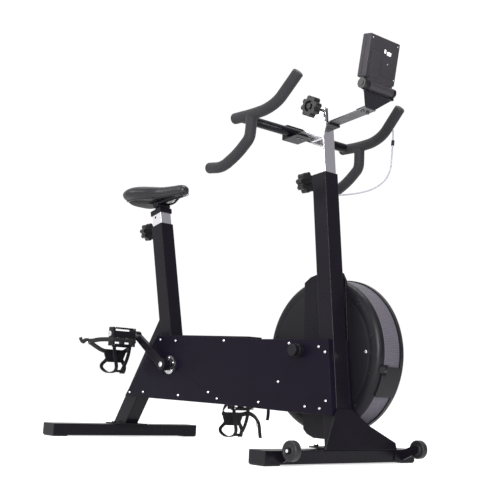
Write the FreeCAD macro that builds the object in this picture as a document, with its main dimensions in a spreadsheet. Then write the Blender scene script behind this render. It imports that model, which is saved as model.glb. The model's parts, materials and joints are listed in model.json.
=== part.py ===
import FreeCAD, Part
import Sketcher
import math
import os

V = FreeCAD.Vector
PL = FreeCAD.Placement
ROT = FreeCAD.Rotation

doc = FreeCAD.newDocument("ExerciseBike")
sheet = doc.addObject("Spreadsheet::Sheet", "Sizes")

# Driving dimensions, in millimetres and degrees.
SIZES = {
    # feet
    "footgap": 3.0, "rearfootwide": 67.0, "rearfoothigh": 37.3, "rearfootlong": 572.5,
    "frontfootwide": 59.1, "frontfoothigh": 34.0, "frontfootlong": 561.3, "footwall": 2.0,
    "footspacing": 993.7, "capthick": 3.0, "padlong": 52.0, "platethick": 4.0,
    # frame tubes
    "tubewall": 1.5, "legdeep": 60.0, "legwide": 50.0, "legangle": 33.2,
    "seattubedeep": 55.6, "seattubewide": 50.3, "seatangle": 13.79, "seattubetop": 718.8,
    "frontpostdeep": 51.3, "frontpostwide": 51.4, "frontangle": 6.76, "frontposttop": 792.6,
    "tubecorner": 2.5, "beamhigh": 50.0, "beamwide": 50.0, "bracketthick": 6.0,
    # sliding posts and liners
    "seatpostdeep": 49.2, "seatpostwide": 43.2, "seatpostlong": 270.0, "postwall": 2.0,
    "seatlinerdeep": 52.4, "seatlinerwide": 47.1, "linerlong": 150.0,
    "barpostdeep": 45.0, "barpostwide": 45.0, "barpostlong": 330.0,
    "barlinerdeep": 48.1, "barlinerwide": 48.2, "linerclear": 0.3,
    # drive
    "crankhalf": 173.0, "axleradius": 8.5, "runclear": 0.05, "pulleyradius": 84.0,
    "fanpulleyradius": 22.0, "pulleywide": 9.0, "shellradius": 21.0,
    # fan drum
    "drumradius": 213.0, "drumwall": 3.0, "drumnear": 42.4, "drumfar": 152.8,
    "grillenear": 66.0, "grillefar": 127.0, "grillethick": 2.5, "bladecount": 14.0,
    # covers
    "coverout": 45.0, "coverin": 25.9, "coverwall": 2.5, "farcoverout": 35.8,
    # knobs, wheels, screws
    "knobradius": 30.0, "knobthick": 22.0, "boltradius": 5.0, "screwradius": 4.0,
    "wheelradius": 25.0, "wheelwide": 20.0, "wheelaxle": 4.0,
    # handlebar and console
    "coreradius": 12.7, "foamradius": 15.6, "armwide": 40.0, "armthick": 4.0,
    "consolewide": 120.0, "consolehigh": 118.0, "consolethick": 30.0, "cableradius": 2.1,
}
for i, (k, v) in enumerate(SIZES.items(), start=1):
    sheet.set("A%d" % i, k)
    sheet.set("B%d" % i, str(v))
    sheet.setAlias("B%d" % i, k)
doc.recompute()
S = SIZES

# x is measured forward from the middle of the rear foot and then shifted so
# that the origin is under the middle of the whole bike.
SHIFT = -542.26
# z is measured from a datum 9.5 mm under the floor.
FLOOR = 9.5
LIFT = -FLOOR


def P(x, y, z):
    return V(x + SHIFT, y, z + LIFT)


NODES = []


def node(obj, label):
    obj.Label = label
    NODES.append(obj)
    return obj


def E(obj, prop, expr):
    obj.setExpression(prop, expr)


def plane_of(body, role):
    for f in body.Origin.OriginFeatures:
        if f.Role == role:
            return f
    raise RuntimeError(role)


def new_body(label):
    return doc.addObject("PartDesign::Body", "B_" + label)


def sketch_on(body, role, name):
    sk = body.newObject("Sketcher::SketchObject", name)
    sk.AttachmentSupport = [(plane_of(body, role), "")]
    sk.MapMode = "FlatFace"
    return sk


def rect(sk, w, d, wexpr, dexpr):
    """Rectangle centred on the sketch origin, its two sizes bound to the sheet."""
    i = sk.GeometryCount
    a, b = w / 2.0, d / 2.0
    pts = [V(-a, -b), V(a, -b), V(a, b), V(-a, b)]
    for k in range(4):
        sk.addGeometry(Part.LineSegment(pts[k], pts[(k + 1) % 4]), False)
    C = Sketcher.Constraint
    for k in range(4):
        sk.addConstraint(C("Coincident", i + k, 2, i + (k + 1) % 4, 1))
    sk.addConstraint(C("Horizontal", i))
    sk.addConstraint(C("Horizontal", i + 2))
    sk.addConstraint(C("Vertical", i + 1))
    sk.addConstraint(C("Vertical", i + 3))
    sk.addConstraint(C("Symmetric", i, 1, i + 1, 2, -1, 1))
    n = sk.addConstraint(C("DistanceX", i, 1, i, 2, w))
    sk.setExpression("Constraints[%d]" % n, wexpr)
    n = sk.addConstraint(C("DistanceY", i + 1, 1, i + 1, 2, d))
    sk.setExpression("Constraints[%d]" % n, dexpr)


def ring(sk, r, rexpr):
    i = sk.addGeometry(Part.Circle(V(0, 0), V(0, 0, 1), r), False)
    sk.addConstraint(Sketcher.Constraint("Coincident", i, 3, -1, 1))
    n = sk.addConstraint(Sketcher.Constraint("Radius", i, r))
    sk.setExpression("Constraints[%d]" % n, rexpr)


def poly(sk, pts):
    n = len(pts)
    i = sk.GeometryCount
    for k in range(n):
        a, b = pts[k], pts[(k + 1) % n]
        sk.addGeometry(Part.LineSegment(V(a[0], a[1]), V(b[0], b[1])), False)
    for k in range(n):
        sk.addConstraint(Sketcher.Constraint("Coincident", i + k, 2, i + (k + 1) % n, 1))


def pad(body, sk, name, lexpr, mid=False):
    f = body.newObject("PartDesign::Pad", name)
    f.Profile = sk
    sk.Visibility = False
    f.Type = 0
    f.Length = 10.0
    if mid:
        if hasattr(f, "SideType"):
            f.SideType = "Symmetric"
        else:
            f.Midplane = True
    E(f, "Length", lexpr)
    return f


def tube_body(label, w, d, wexpr, dexpr, wallexpr, wall, lexpr, place, rad=2.5):
    """Straight rectangular tube standing on its own XY plane."""
    b = new_body(label)
    sk = sketch_on(b, "XY_Plane", "S_" + label)
    rect(sk, w, d, wexpr, dexpr)
    rect(sk, w - 2 * wall, d - 2 * wall, "%s - 2*%s" % (wexpr, wallexpr), "%s - 2*%s" % (dexpr, wallexpr))
    f = pad(b, sk, "P_" + label, lexpr)
    if rad:
        doc.recompute()
        names = []
        for i, e in enumerate(f.Shape.Edges, start=1):
            v0, v1 = e.Vertexes[0].Point, e.Vertexes[-1].Point
            if abs(v0.z - v1.z) > 1 and abs(abs(v0.x) - w / 2) < 0.01 and abs(abs(v0.y) - d / 2) < 0.01:
                names.append("Edge%d" % i)
        fl = b.newObject("PartDesign::Fillet", "R_" + label)
        fl.Base = (f, names)
        fl.Radius = rad
        E(fl, "Radius", "Sizes.tubecorner")
    b.Placement = place
    return b


def side_tube(label, outer, inner, wexpr, wallexpr, volcheck=True):
    """Welded tube drawn from the side (x, z), symmetric about the middle plane."""
    b = new_body(label)
    sk = sketch_on(b, "XZ_Plane", "S_" + label)
    poly(sk, [(p[0] + SHIFT, p[1] + LIFT) for p in outer])
    f = pad(b, sk, "P_" + label, wexpr, mid=True)
    doc.recompute()
    longest = max(e.Length for e in f.Shape.Edges)
    ymax = max(v.Point.y for v in f.Shape.Vertexes)
    names = []
    for i, e in enumerate(f.Shape.Edges, start=1):
        p0, p1 = e.Vertexes[0].Point, e.Vertexes[-1].Point
        if e.Length > longest * 0.5 and abs(abs(p0.y) - ymax) < 0.01 and abs(p0.y - p1.y) < 0.01:
            names.append("Edge%d" % i)
    if len(names) != 4:
        raise RuntimeError("long edges: %s %d" % (label, len(names)))
    fl = b.newObject("PartDesign::Fillet", "R_" + label)
    fl.Base = (f, names)
    fl.Radius = 2.5
    E(fl, "Radius", "Sizes.tubecorner")
    doc.recompute()
    v0 = b.Shape.Volume
    s2 = sketch_on(b, "XZ_Plane", "H_" + label)
    poly(s2, [(p[0] + SHIFT, p[1] + LIFT) for p in inner])
    k = b.newObject("PartDesign::Pocket", "K_" + label)
    k.Profile = s2
    s2.Visibility = False
    k.Type = 0
    if hasattr(k, "SideType"):
        k.SideType = "Symmetric"
    else:
        k.Midplane = True
    E(k, "Length", "%s - 2*%s" % (wexpr, wallexpr))
    doc.recompute()
    if not b.Shape.Volume < v0 * 0.7:
        raise RuntimeError("pocket cut nothing: " + label)
    return b


def rev_body(label, profile, place):
    """Solid of revolution, profile given as (radius, height) about local Z."""
    b = new_body(label)
    sk = sketch_on(b, "XZ_Plane", "S_" + label)
    poly(sk, profile)
    r = b.newObject("PartDesign::Revolution", "R_" + label)
    r.Profile = sk
    r.ReferenceAxis = (sk, ["V_Axis"])
    r.Angle = 360.0
    sk.Visibility = False
    b.Placement = place
    return b


def plate_body(label, pts, lexpr, place, holes=()):
    b = new_body(label)
    sk = sketch_on(b, "XY_Plane", "S_" + label)
    poly(sk, pts)
    for (hx, hy, hr) in holes:
        sk.addGeometry(Part.Circle(V(hx, hy), V(0, 0, 1), hr), False)
    pad(b, sk, "P_" + label, lexpr)
    b.Placement = place
    return b


def feature(label, shape):
    o = doc.addObject("Part::Feature", "F_" + label)
    o.Shape = shape
    o.Placement = PL()
    return node(o, label)


def cyl(name, r, l, rexpr, lexpr, place):
    c = doc.addObject("Part::Cylinder", name)
    c.Radius = r
    c.Height = l
    if rexpr:
        E(c, "Radius", rexpr)
    if lexpr:
        E(c, "Height", lexpr)
    c.Placement = place
    return c


def cut(name, a, b):
    c = doc.addObject("Part::Cut", name)
    c.Base = a
    c.Tool = b
    return c


def fuse(name, objs):
    c = doc.addObject("Part::MultiFuse", name)
    c.Shapes = objs
    return c


ALONG_Y = ROT(V(1, 0, 0), -90)      # local z -> +y
ALONG_MX = ROT(V(0, 1, 0), -90)     # local z -> -x


# ---- plain shape helpers ------------------------------------------------
def box(x0, x1, y0, y1, z0, z1):
    return Part.makeBox(x1 - x0, y1 - y0, z1 - z0, P(x0, y0, z0))


def rod_y(x, z, r, y0, y1):
    return Part.makeCylinder(r, y1 - y0, P(x, y0, z), V(0, 1, 0))


def prism_y(pts, y0, y1):
    vs = [P(x, y0, z) for x, z in pts]
    w = Part.makePolygon(vs + [vs[0]])
    return Part.Face(w).extrude(V(0, y1 - y0, 0))


def union(shapes):
    s = shapes[0]
    if len(shapes) > 1:
        s = s.multiFuse(shapes[1:])
    return s.removeSplitter()


def one(shape):
    s = shape.Solids
    return s[0] if len(s) == 1 else Part.makeCompound(s)


def ribbon(pts, t):
    """Constant-thickness strip around an open polyline (x, z)."""
    n = len(pts)
    up, dn = [], []
    for i in range(n):
        d = []
        if i > 0:
            a = (pts[i][0] - pts[i - 1][0], pts[i][1] - pts[i - 1][1])
            L = math.hypot(*a)
            d.append((a[0] / L, a[1] / L))
        if i < n - 1:
            a = (pts[i + 1][0] - pts[i][0], pts[i + 1][1] - pts[i][1])
            L = math.hypot(*a)
            d.append((a[0] / L, a[1] / L))
        if len(d) == 2:
            m = (d[0][0] + d[1][0], d[0][1] + d[1][1])
            L = math.hypot(*m)
            m = (m[0] / L, m[1] / L)
            k = 1.0 / max(0.35, m[0] * d[0][0] + m[1] * d[0][1])
        else:
            m, k = d[0], 1.0
        nx, nz = -m[1] * k * t / 2, m[0] * k * t / 2
        up.append((pts[i][0] + nx, pts[i][1] + nz))
        dn.append((pts[i][0] - nx, pts[i][1] - nz))
    return up + dn[::-1]


def inset(pts, d):
    """Inward offset of a convex-ish counter-clockwise polygon."""
    n = len(pts)
    out = []
    for i in range(n):
        a, b, c = pts[i - 1], pts[i], pts[(i + 1) % n]
        e1 = (b[0] - a[0], b[1] - a[1])
        e2 = (c[0] - b[0], c[1] - b[1])
        l1, l2 = math.hypot(*e1), math.hypot(*e2)
        n1 = (-e1[1] / l1, e1[0] / l1)
        n2 = (-e2[1] / l2, e2[0] / l2)
        m = (n1[0] + n2[0], n1[1] + n2[1])
        k = d / (1 + n1[0] * n2[0] + n1[1] * n2[1])
        out.append((b[0] + m[0] * k, b[1] + m[1] * k))
    return out


def route(pts, radii=None, share=0.45):
    """Wire of straight runs joined by tangent arcs."""
    vs = [V(*p) for p in pts]
    n = len(vs)
    edges = []
    last = vs[0]
    out = []
    for i in range(1, n - 1):
        a = (vs[i - 1] - vs[i])
        b = (vs[i + 1] - vs[i])
        la, lb = a.Length, b.Length
        a.normalize()
        b.normalize()
        turn = math.pi - a.getAngle(b)
        t = share * min(la, lb)
        r = t / math.tan(turn / 2)
        if radii:
            r = min(r, radii)
            t = r * math.tan(turn / 2)
        out.append(r)
        p1 = vs[i] + a * t
        p2 = vs[i] + b * t
        bis = (a + b)
        bis.normalize()
        mid = vs[i] + bis * (r / math.cos(turn / 2) - r)
        edges.append(Part.LineSegment(last, p1).toShape())
        edges.append(Part.Arc(p1, mid, p2).toShape())
        last = p2
    edges.append(Part.LineSegment(last, vs[-1]).toShape())
    return Part.Wire(edges), out


def pipe(pts, r, radii=None, share=0.45):
    w, rr = route([P(*p) for p in pts], radii, share)
    d = P(*pts[1]) - P(*pts[0])
    c = Part.Wire([Part.Circle(P(*pts[0]), d, r).toShape()])
    s = w.makePipeShell([c], True, True)
    if s.Volume < 0:
        s.reverse()
    return s, w, rr


# ---- feet ----------------------------------------------------------------
FG = FLOOR + S["footgap"]
zr = FG + S["rearfoothigh"] / 2
zf = FG + S["frontfoothigh"] / 2
FX = S["footspacing"]
b = tube_body("rear_foot_bar", 67.0, 37.3, "Sizes.rearfootwide", "Sizes.rearfoothigh", "Sizes.footwall", 2.0,
              "Sizes.rearfootlong", PL(P(0, -S["rearfootlong"] / 2, zr), ALONG_Y))
node(b, "rear_foot_bar")
b = tube_body("front_foot_bar", 59.1, 34.0, "Sizes.frontfootwide", "Sizes.frontfoothigh", "Sizes.footwall", 2.0,
              "Sizes.frontfootlong", PL(P(FX, -S["frontfootlong"] / 2, zf), ALONG_Y))
node(b, "front_foot_bar")


def foot_caps(cx, w, h, long):
    """Moulded end caps: plate over the tube end, plug inside it, pad below it."""
    out = []
    for s in (-1, 1):
        y1 = s * long / 2
        y2 = y1 + s * S["capthick"]
        ya, yb = sorted((y1, y2))
        plate = box(cx - w / 2, cx + w / 2, ya, yb, FG, FG + h)
        plate = plate.makeChamfer(1.2, [e for e in plate.Edges if abs(e.CenterOfMass.y - s * abs(y2)) < 0.01])
        ya, yb = sorted((y1, y1 - s * 18.0))
        plug = box(cx - w / 2 + 2.1, cx + w / 2 - 2.1, ya, yb, FG + 2.1, FG + h - 2.1)
        # pad: starts at the end plate, runs inwards under the tube
        ya, yb = sorted((y1 + s * 0.8, y1 + s * 0.8 - s * S["padlong"]))
        foot = box(cx - w / 2 + 2, cx + w / 2 - 2, ya, yb, FLOOR, FG)
        lip = box(cx - w / 2 + 2, cx + w / 2 - 2, *sorted((y1 + s * 0.8, y1)), FG - 0.5, FG + 1.0)
        foot = foot.makeChamfer(1.5, [e for e in foot.Edges if abs(e.CenterOfMass.z) < 0.01])
        out.append(one(union([plate, plug, foot, lip])))
    return out


feature("foot_caps", Part.makeCompound(
    foot_caps(0, S["rearfootwide"], S["rearfoothigh"], S["rearfootlong"]) +
    foot_caps(FX, S["frontfootwide"], S["frontfoothigh"], S["frontfootlong"])))

# weld plates on the feet, each with two bolts through it
RT = FG + S["rearfoothigh"]
FT = FG + S["frontfoothigh"]
pl = box(-33, 62, -52, 52, RT, RT + S["platethick"])
bolts = [Part.makeCylinder(6.5, 4.5, P(-2 + 0, s * 40, RT + S["platethick"])) for s in (-1, 1)]
plate_r = one(union([pl] + bolts))
pl = box(938, 1021, -50, 50, FT, FT + S["platethick"])
bolts = [Part.makeCylinder(6.5, 4.5, P(953, s * 38, FT + S["platethick"])) for s in (-1, 1)]
feature("foot_plates", Part.makeCompound([plate_r, one(union([pl] + bolts))]))


# ---- frame tubes ---------------------------------------------------------
def seat_x(z):
    return 325.5 - 0.2455 * z


def front_x(z):
    return 1002.7 - 0.1185 * z


sh = S["seattubedeep"] / 2 / math.cos(math.radians(S["seatangle"]))
fh = S["frontpostdeep"] / 2 / math.cos(math.radians(S["frontangle"]))
lh = S["legdeep"] / 2 / math.cos(math.radians(S["legangle"]))
lt = math.tan(math.radians(S["legangle"]))


def leg_x(z):
    return 7.0 + lt * (z - 50.0)


def leg_meet(off):
    """Height at which a line of the leg reaches the rear face of the seat tube."""
    # 7 + lt (z-50) + off = 325.5 - 0.2455 z - sh
    return (325.5 - sh - 7 - off + lt * 50) / (lt + 0.2455)


z0 = RT + S["platethick"]
outer, inner = [], []
for off, dst in ((lh, outer), (lh - S["tubewall"] / math.cos(math.radians(S["legangle"])), inner)):
    zb = z0 if dst is outer else z0 - 3
    za, zc = leg_meet(off), leg_meet(-off)
    e = 0 if dst is outer else 4
    dst += [(leg_x(zb) - off, zb), (leg_x(zb) + off, zb), (leg_x(za) + off + e * lt, za + e), (leg_x(zc) - off + e * lt, zc + e)]
b = side_tube("rear_leg", outer, inner, "Sizes.legwide", "Sizes.tubewall")
node(b, "rear_leg")

BX, BZ = 299.6, 251.8
BEAM0, BEAM1 = 180.0, 230.0
zt = S["seattubetop"]
dz = sh * math.sin(math.radians(S["seatangle"])) * math.cos(math.radians(S["seatangle"]))
ca, sa = math.cos(math.radians(S["seatangle"])), math.sin(math.radians(S["seatangle"]))


def SQ(along, across):
    """Point of the seat tube's own frame: along its axis from the top, across towards the front."""
    x0 = seat_x(zt)
    return (x0 - along * sa + across * ca, zt + along * ca + across * sa)


hd = S["seattubedeep"] / 2
hi = hd - S["tubewall"]


def seat_low(off, z):
    # where the tube's side at 'off' reaches height z
    x0, z_0 = SQ(0, off)
    k = (z_0 - z) / ca
    return (x0 + k * sa, z)


outer = [seat_low(-hd, BEAM1), seat_low(hd, BEAM1), SQ(0, hd), SQ(0, -hd)]
inner = [seat_low(-hi, BEAM1 - 3), seat_low(hi, BEAM1 - 3), SQ(4, hi), SQ(4, -hi)]
tube = side_tube("seat_tube_stock", outer, inner, "Sizes.seattubewide", "Sizes.tubewall")
KZ = zt - 14.0          # seat knob height
rear = seat_x(KZ) - sh
boss = cyl("seat_boss", 13.0, 20.0, None, None, PL(P(rear + 5.5, 0, KZ), ALONG_MX))
mouth = cyl("seat_shell_cut", 21.2, 120, "Sizes.shellradius + 0.02", None, PL(P(BX, -60, BZ), ALONG_Y))
hole = cyl("seat_knob_hole", 5.05, 60, "Sizes.boltradius + Sizes.runclear", None, PL(P(rear + 12, 0, KZ), ALONG_MX))
core = doc.addObject("Part::Feature", "seat_tube_core")
core.Shape = prism_y([seat_low(-hi, BEAM1 - 3), seat_low(hi, BEAM1 - 3), SQ(14, hi), SQ(14, -hi)],
                     -S["seattubewide"] / 2 + S["tubewall"], S["seattubewide"] / 2 - S["tubewall"])
bc = cut("seat_boss_trim", boss, core)
fz = fuse("seat_tube_fuse", [tube, bc])
c1 = cut("seat_tube_c1", fz, mouth)
node(cut("seat_tube_c2", c1, hole), "seat_tube")


def beam_side(label):
    # rear end cut along the leg's front face, front end along the post's rear face
    outer = [(leg_x(BEAM0) + lh, BEAM0), (front_x(BEAM0) - fh, BEAM0), (front_x(BEAM1) - fh, BEAM1), (leg_x(BEAM1) + lh, BEAM1)]
    w = S["tubewall"]
    inner = [(leg_x(BEAM0 + w) + lh - 4, BEAM0 + w), (front_x(BEAM0) - fh + 4, BEAM0 + w),
             (front_x(BEAM1) - fh + 4, BEAM1 - w), (leg_x(BEAM1 - w) + lh - 4, BEAM1 - w)]
    return side_tube(label, outer, inner, "Sizes.beamwide", "Sizes.tubewall")


node(beam_side("main_beam"), "main_beam")

# bottom bracket shell with a bearing seat at each end, resting on the beam
ar = S["axleradius"] + S["runclear"]
prof = [(ar, 0), (21, 0), (21, 60), (ar, 60), (ar, 48), (17, 48), (17, 12), (ar, 12)]
b = rev_body("bb_stock", prof, PL(P(BX, -30, BZ), ALONG_Y))
rest = doc.addObject("Part::Feature", "bb_rest")
rest.Shape = box(BX - 14, BX + 14, -24, 24, BEAM1, BZ - 17.5).cut(rod_y(BX, BZ, 20.0, -40, 40))
keep = doc.addObject("Part::Feature", "bb_rest2")
keep.Shape = prism_y([seat_low(-hd - 1, BEAM1 - 5), seat_low(hd + 0.02, BEAM1 - 5), SQ(-300, hd + 0.02), SQ(-300, -hd - 1)], -40, 40)
rc = cut("bb_rest_trim", rest, keep)
node(fuse("bb_fuse", [b, rc]), "bottom_bracket_shell")

ct, st = math.cos(math.radians(S["frontangle"])), math.sin(math.radians(S["frontangle"]))
zp = S["frontposttop"]


def FQ(along, across):
    x0 = front_x(zp)
    return (x0 - along * st + across * ct, zp + along * ct + across * st)


pd = S["frontpostdeep"] / 2
pi_ = pd - S["tubewall"]


def front_low(off, z):
    x0, z_0 = FQ(0, off)
    k = (z_0 - z) / ct
    return (x0 + k * st, z)


ZF0 = FT + S["platethick"]
outer = [front_low(-pd, ZF0), front_low(pd, ZF0), FQ(0, pd), FQ(0, -pd)]
inner = [front_low(-pi_, ZF0 - 3), front_low(pi_, ZF0 - 3), FQ(4, pi_), FQ(4, -pi_)]
tube = side_tube("front_post_stock", outer, inner, "Sizes.frontpostwide", "Sizes.tubewall")
PKZ = zp - 13.0
frear = front_x(PKZ) - fh
boss = cyl("front_boss", 13.0, 20.0, None, None, PL(P(frear + 4.5, 0, PKZ), ALONG_MX))
core = doc.addObject("Part::Feature", "front_post_core")
core.Shape = prism_y(inner, -S["frontpostwide"] / 2 + S["tubewall"], S["frontpostwide"] / 2 - S["tubewall"])
bc = cut("front_boss_trim", boss, core)
hole = cyl("front_knob_hole", 5.05, 60, "Sizes.boltradius + Sizes.runclear", None, PL(P(frear + 12, 0, PKZ), ALONG_MX))
fz = fuse("front_post_fuse", [tube, bc])
GZ = 742.0             # height of the cable grommet on the far face
gx = front_x(GZ)
gh = cyl("grommet_hole", 5.0, 10, None, None, PL(P(gx, 20, GZ), ALONG_Y))
c1 = cut("front_post_c1", fz, gh)
node(cut("front_post_c2", c1, hole), "front_post")

# skirt plate at the foot of the front post, leaning with the post
gp = [(-79, FT), (201, FT), (197, 65), (97, 108), (26, 152), (-26, 152), (-36, 139)]
vs0 = [P(front_x(z) + fh + 0.06, y, z) for y, z in gp]
face = Part.Face(Part.makePolygon(vs0 + [vs0[0]]))
feature("front_skirt", face.extrude(V(4.5, 0, 0)))

# ---- casing --------------------------------------------------------------
cv = [(60, 146), (190, 144), (577, 141), (819, 135), (front_x(133) + fh - 1, 133),
      (front_x(331) + fh - 1, 331), (711, 332), (650, 336), (357, 343), (222, 345)]
ci = inset(cv, S["coverwall"])


def pan(label, ylo, yhi, wall_low, holes):
    """Shallow tray: outline pad, then the inside pocketed from the tube side."""
    base = doc.addObject("Part::Feature", "base_" + label)
    out = prism_y(cv, ylo, yhi)
    base.Shape = out
    w = S["coverwall"]
    tool = doc.addObject("Part::Feature", "tool_" + label)
    if wall_low:
        t = prism_y(ci, ylo + w, yhi + 5)
    else:
        t = prism_y(ci, ylo - 5, yhi - w)
    tool.Shape = t
    c = cut("pan_" + label, base, tool)
    hs = doc.addObject("Part::Feature", "holes_" + label)
    hs.Shape = Part.makeCompound([rod_y(x, z, r, ylo - 5, yhi + 5) for x, z, r in holes])
    return node(cut("trim_" + label, c, hs), label)


pan("cover_near", -S["coverout"], -S["coverin"], True, [(BX, BZ, 14.0)])
FCX, FCZ = 877.0, 295.4
pan("cover_far", S["coverin"], S["farcoverout"], False, [(BX, BZ, 14.0), (FCX, FCZ, 14.0)])

# strips that close the casing between the two pans, along the top and bottom
ci2 = S["coverin"] - 0.1
top = prism_y([(seat_x(342.5) + sh + 0.5, 340.2), (650, 333.8), (650, 341), (seat_x(349) + sh + 0.5, 348)], -ci2, ci2)
top2 = prism_y([(650, 333.8), (711, 329.8), (front_x(330) - fh - 0.5, 328.8), (front_x(331) - fh - 0.5, 331.4), (711, 332.4), (650, 336.4)], -ci2, ci2)
bot = prism_y([(leg_x(145) + lh + 0.5, 144.6), (577, 141.4), (819, 135.4), (front_x(134) - fh - 0.5, 133.4),
               (front_x(136) - fh - 0.5, 136.0), (819, 138.0), (577, 144.0), (leg_x(147.5) + lh + 0.5, 147.2)], -ci2, ci2)
feature("cover_strips", Part.makeCompound([one(union([top, top2])), bot]))

# casing screws (button heads) and the ring round the crank opening
scr = [(322, 328), (163, 162), (352, 159), (499, 174), (542, 157), (726, 155), (803, 214), (954, 311),
       (978, 297), (911, 152), (966, 149), (988, 170), (86, 158), (240, 332), (560, 328), (840, 320)]
heads = []
for x, z in scr:
    h = Part.makeCone(S["screwradius"], S["screwradius"] * 0.55, 2.4, P(x, -S["coverout"], z), V(0, -1, 0))
    heads.append(h)
bez = rod_y(BX, BZ, 29, -S["coverout"] - 3, -S["coverout"]).cut(rod_y(BX, BZ, 15, -60, 0))
heads.append(bez)
for k in range(5):
    a = math.radians(20 + 72 * k)
    heads.append(Part.makeCone(3.2, 1.9, 2.0, P(BX + 22 * math.cos(a), -S["coverout"] - 3, BZ + 22 * math.sin(a)), V(0, -1, 0)))
feature("cover_screws", Part.makeCompound(heads))

# two-step hub cap on the casing in front of the fan axle
b = rev_body("axle_boss", [(0, 0), (18, 0), (18, 14), (16.5, 16), (13.5, 16), (13.5, 19), (16.5, 19), (16.5, 29), (15, 31), (0, 31)],
             PL(P(883, -S["coverout"], 300), ROT(V(1, 0, 0), 90)))
node(b, "axle_boss")

# ---- fan mounting, drum and wheel -----------------------------------------
ab = S["axleradius"] + S["runclear"]
bt = S["bracketthick"]
ear = [(835, BEAM0 + 5), (919, BEAM0 + 5), (905, 318), (849, 318)]
near_ear = prism_y(ear, -25 - bt, -25).cut(rod_y(FCX, FCZ, ab, -60, 60))
far_ear = prism_y(ear, 25, 25 + bt).cut(rod_y(FCX, FCZ, ab, -60, 60))
mp = [(827, 88), (842, 75), (868, 66), (915, 66), (945, 90), (front_x(90) + 12, 110), (front_x(497) + 24, 497),
      (front_x(518) + 14, 518), (854, 518), (832, 512), (809, 497)]
mount = prism_y(mp, 36.0, 42.4).cut(rod_y(FCX, FCZ, 16, 0, 60))
so1 = prism_y([(front_x(420) - 18, 420), (front_x(420) + 18, 420), (front_x(480) + 18, 480), (front_x(480) - 18, 480)], 25.7, 36.0)
so2 = prism_y([(front_x(100) - 20, 92), (front_x(100) + 10, 92), (front_x(126) + 10, 126), (front_x(126) - 20, 126)], 25.7, 36.0)
feature("fan_bracket", Part.makeCompound([near_ear, far_ear, one(union([mount, so1, so2]))]))

yn, yf = S["drumnear"], S["drumfar"]
gn, gf = S["grillenear"], S["grillefar"]
R = S["drumradius"]
prof = [(16, 0), (172, 0), (175, 2.2), (182, 2.2), (185, 0.6), (197, 0.6), (204, 3.2), (209.5, 8), (R, 15), (R, gn - yn),
        (R - 3, gn - yn), (R - 3, 16), (207, 10.4), (202, 6), (196, 3.6), (184, 3.6), (181, 5.2), (174, 5.2), (171, 3), (16, 3)]
node(rev_body("fan_shell_near", prof, PL(P(FCX, yn, FCZ), ALONG_Y)), "fan_shell_near")
h0 = gf
prof = [(0, yf - h0), (196, yf - h0), (208, yf - h0 - 4), (215, yf - h0 - 13), (215, 0), (212, 0), (212, yf - h0 - 14),
        (206, yf - h0 - 7), (195, yf - h0 - 3), (20, yf - h0 - 3), (20, yf - h0 - 13), (ab, yf - h0 - 13), (ab, yf - h0 - 3), (0, yf - h0 - 3)]
node(rev_body("fan_shell_far", prof, PL(P(FCX, gf, FCZ), ALONG_Y)), "fan_shell_far")
gl = gf - gn
prof = [(R - 1, 0), (R - 1, gl), (R - 1 - S["grillethick"], gl), (R - 1 - S["grillethick"], 0)]
node(rev_body("fan_grille", prof, PL(P(FCX, gn, FCZ), ALONG_Y)), "fan_grille")

# air shield over part of the rim, and the lug for its thumb knob
a0, a1 = math.radians(-8), math.radians(-30)


def sector(r0, r1, aa, bb, y0, y1, n=10):
    pts = []
    for k in range(n + 1):
        a = aa + (bb - aa) * k / n
        pts.append((FCX + r1 * math.cos(a), FCZ + r1 * math.sin(a)))
    for k in range(n, -1, -1):
        a = aa + (bb - aa) * k / n
        pts.append((FCX + r0 * math.cos(a), FCZ + r0 * math.sin(a)))
    return prism_y(pts, y0, y1)


LA = math.radians(-10)
lx, lz = FCX + 224 * math.cos(LA), FCZ + 224 * math.sin(LA)
sh1 = sector(215.3, 219, a1, a0, 58.0, 134.0)
lug = sector(216, 232, math.radians(-14), math.radians(-6.5), 58.0, 63.0)
shield = union([sh1, lug]).cut(rod_y(lx, lz, 3.05, 50, 80))
feature("fan_shield", one(shield))
kn = union([rod_y(lx, lz, 9, 47, 57.5), rod_y(lx, lz, 3.0, 50, 66.0), rod_y(lx, lz, 5.0, 63.3, 66.0)])
feature("shield_knob", one(kn))

# fan wheel: hub, web disc and straight blades
hub = rod_y(FCX, FCZ, 28, 62, 132).cut(rod_y(FCX, FCZ, S["axleradius"], 0, 200))
disc = rod_y(FCX, FCZ, 190, 94, 96.5).cut(rod_y(FCX, FCZ, 20, 0, 200))
parts_ = [hub, disc]
nb = int(S["bladecount"])
for k in range(nb):
    bl = Part.makeBox(176, 60, 2.4, V(24, -30, -1.2))
    bl.rotate(V(0, 0, 0), V(0, 1, 0), 360.0 * k / nb)
    bl.translate(P(FCX, 97, FCZ))
    parts_.append(bl)
s = union(parts_).cut(rod_y(FCX, FCZ, S["axleradius"], 0, 200))
feature("fan_wheel", one(s))
axs = union([rod_y(FCX, FCZ, S["axleradius"], -41.5, 148.0), rod_y(FCX, FCZ, S["fanpulleyradius"], -41, -32),
             rod_y(FCX, FCZ, S["fanpulleyradius"] + 2, -41.4, -41)])
feature("fan_axle", one(axs))


# ---- belt ------------------------------------------------------------------
def loop(r1, r2, y0, y1):
    dx, dzz = FCX - BX, FCZ - BZ
    L = math.hypot(dx, dzz)
    base = math.atan2(dzz, dx)
    phi = math.acos((r1 - r2) / L)
    q = []
    for sgn in (1, -1):
        a = base + sgn * phi
        q.append(((BX + r1 * math.cos(a), BZ + r1 * math.sin(a)), (FCX + r2 * math.cos(a), FCZ + r2 * math.sin(a))))
    quad = prism_y([q[0][0], q[0][1], q[1][1], q[1][0]], y0, y1)
    return union([quad, rod_y(BX, BZ, r1, y0, y1), rod_y(FCX, FCZ, r2, y0, y1)])


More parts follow.
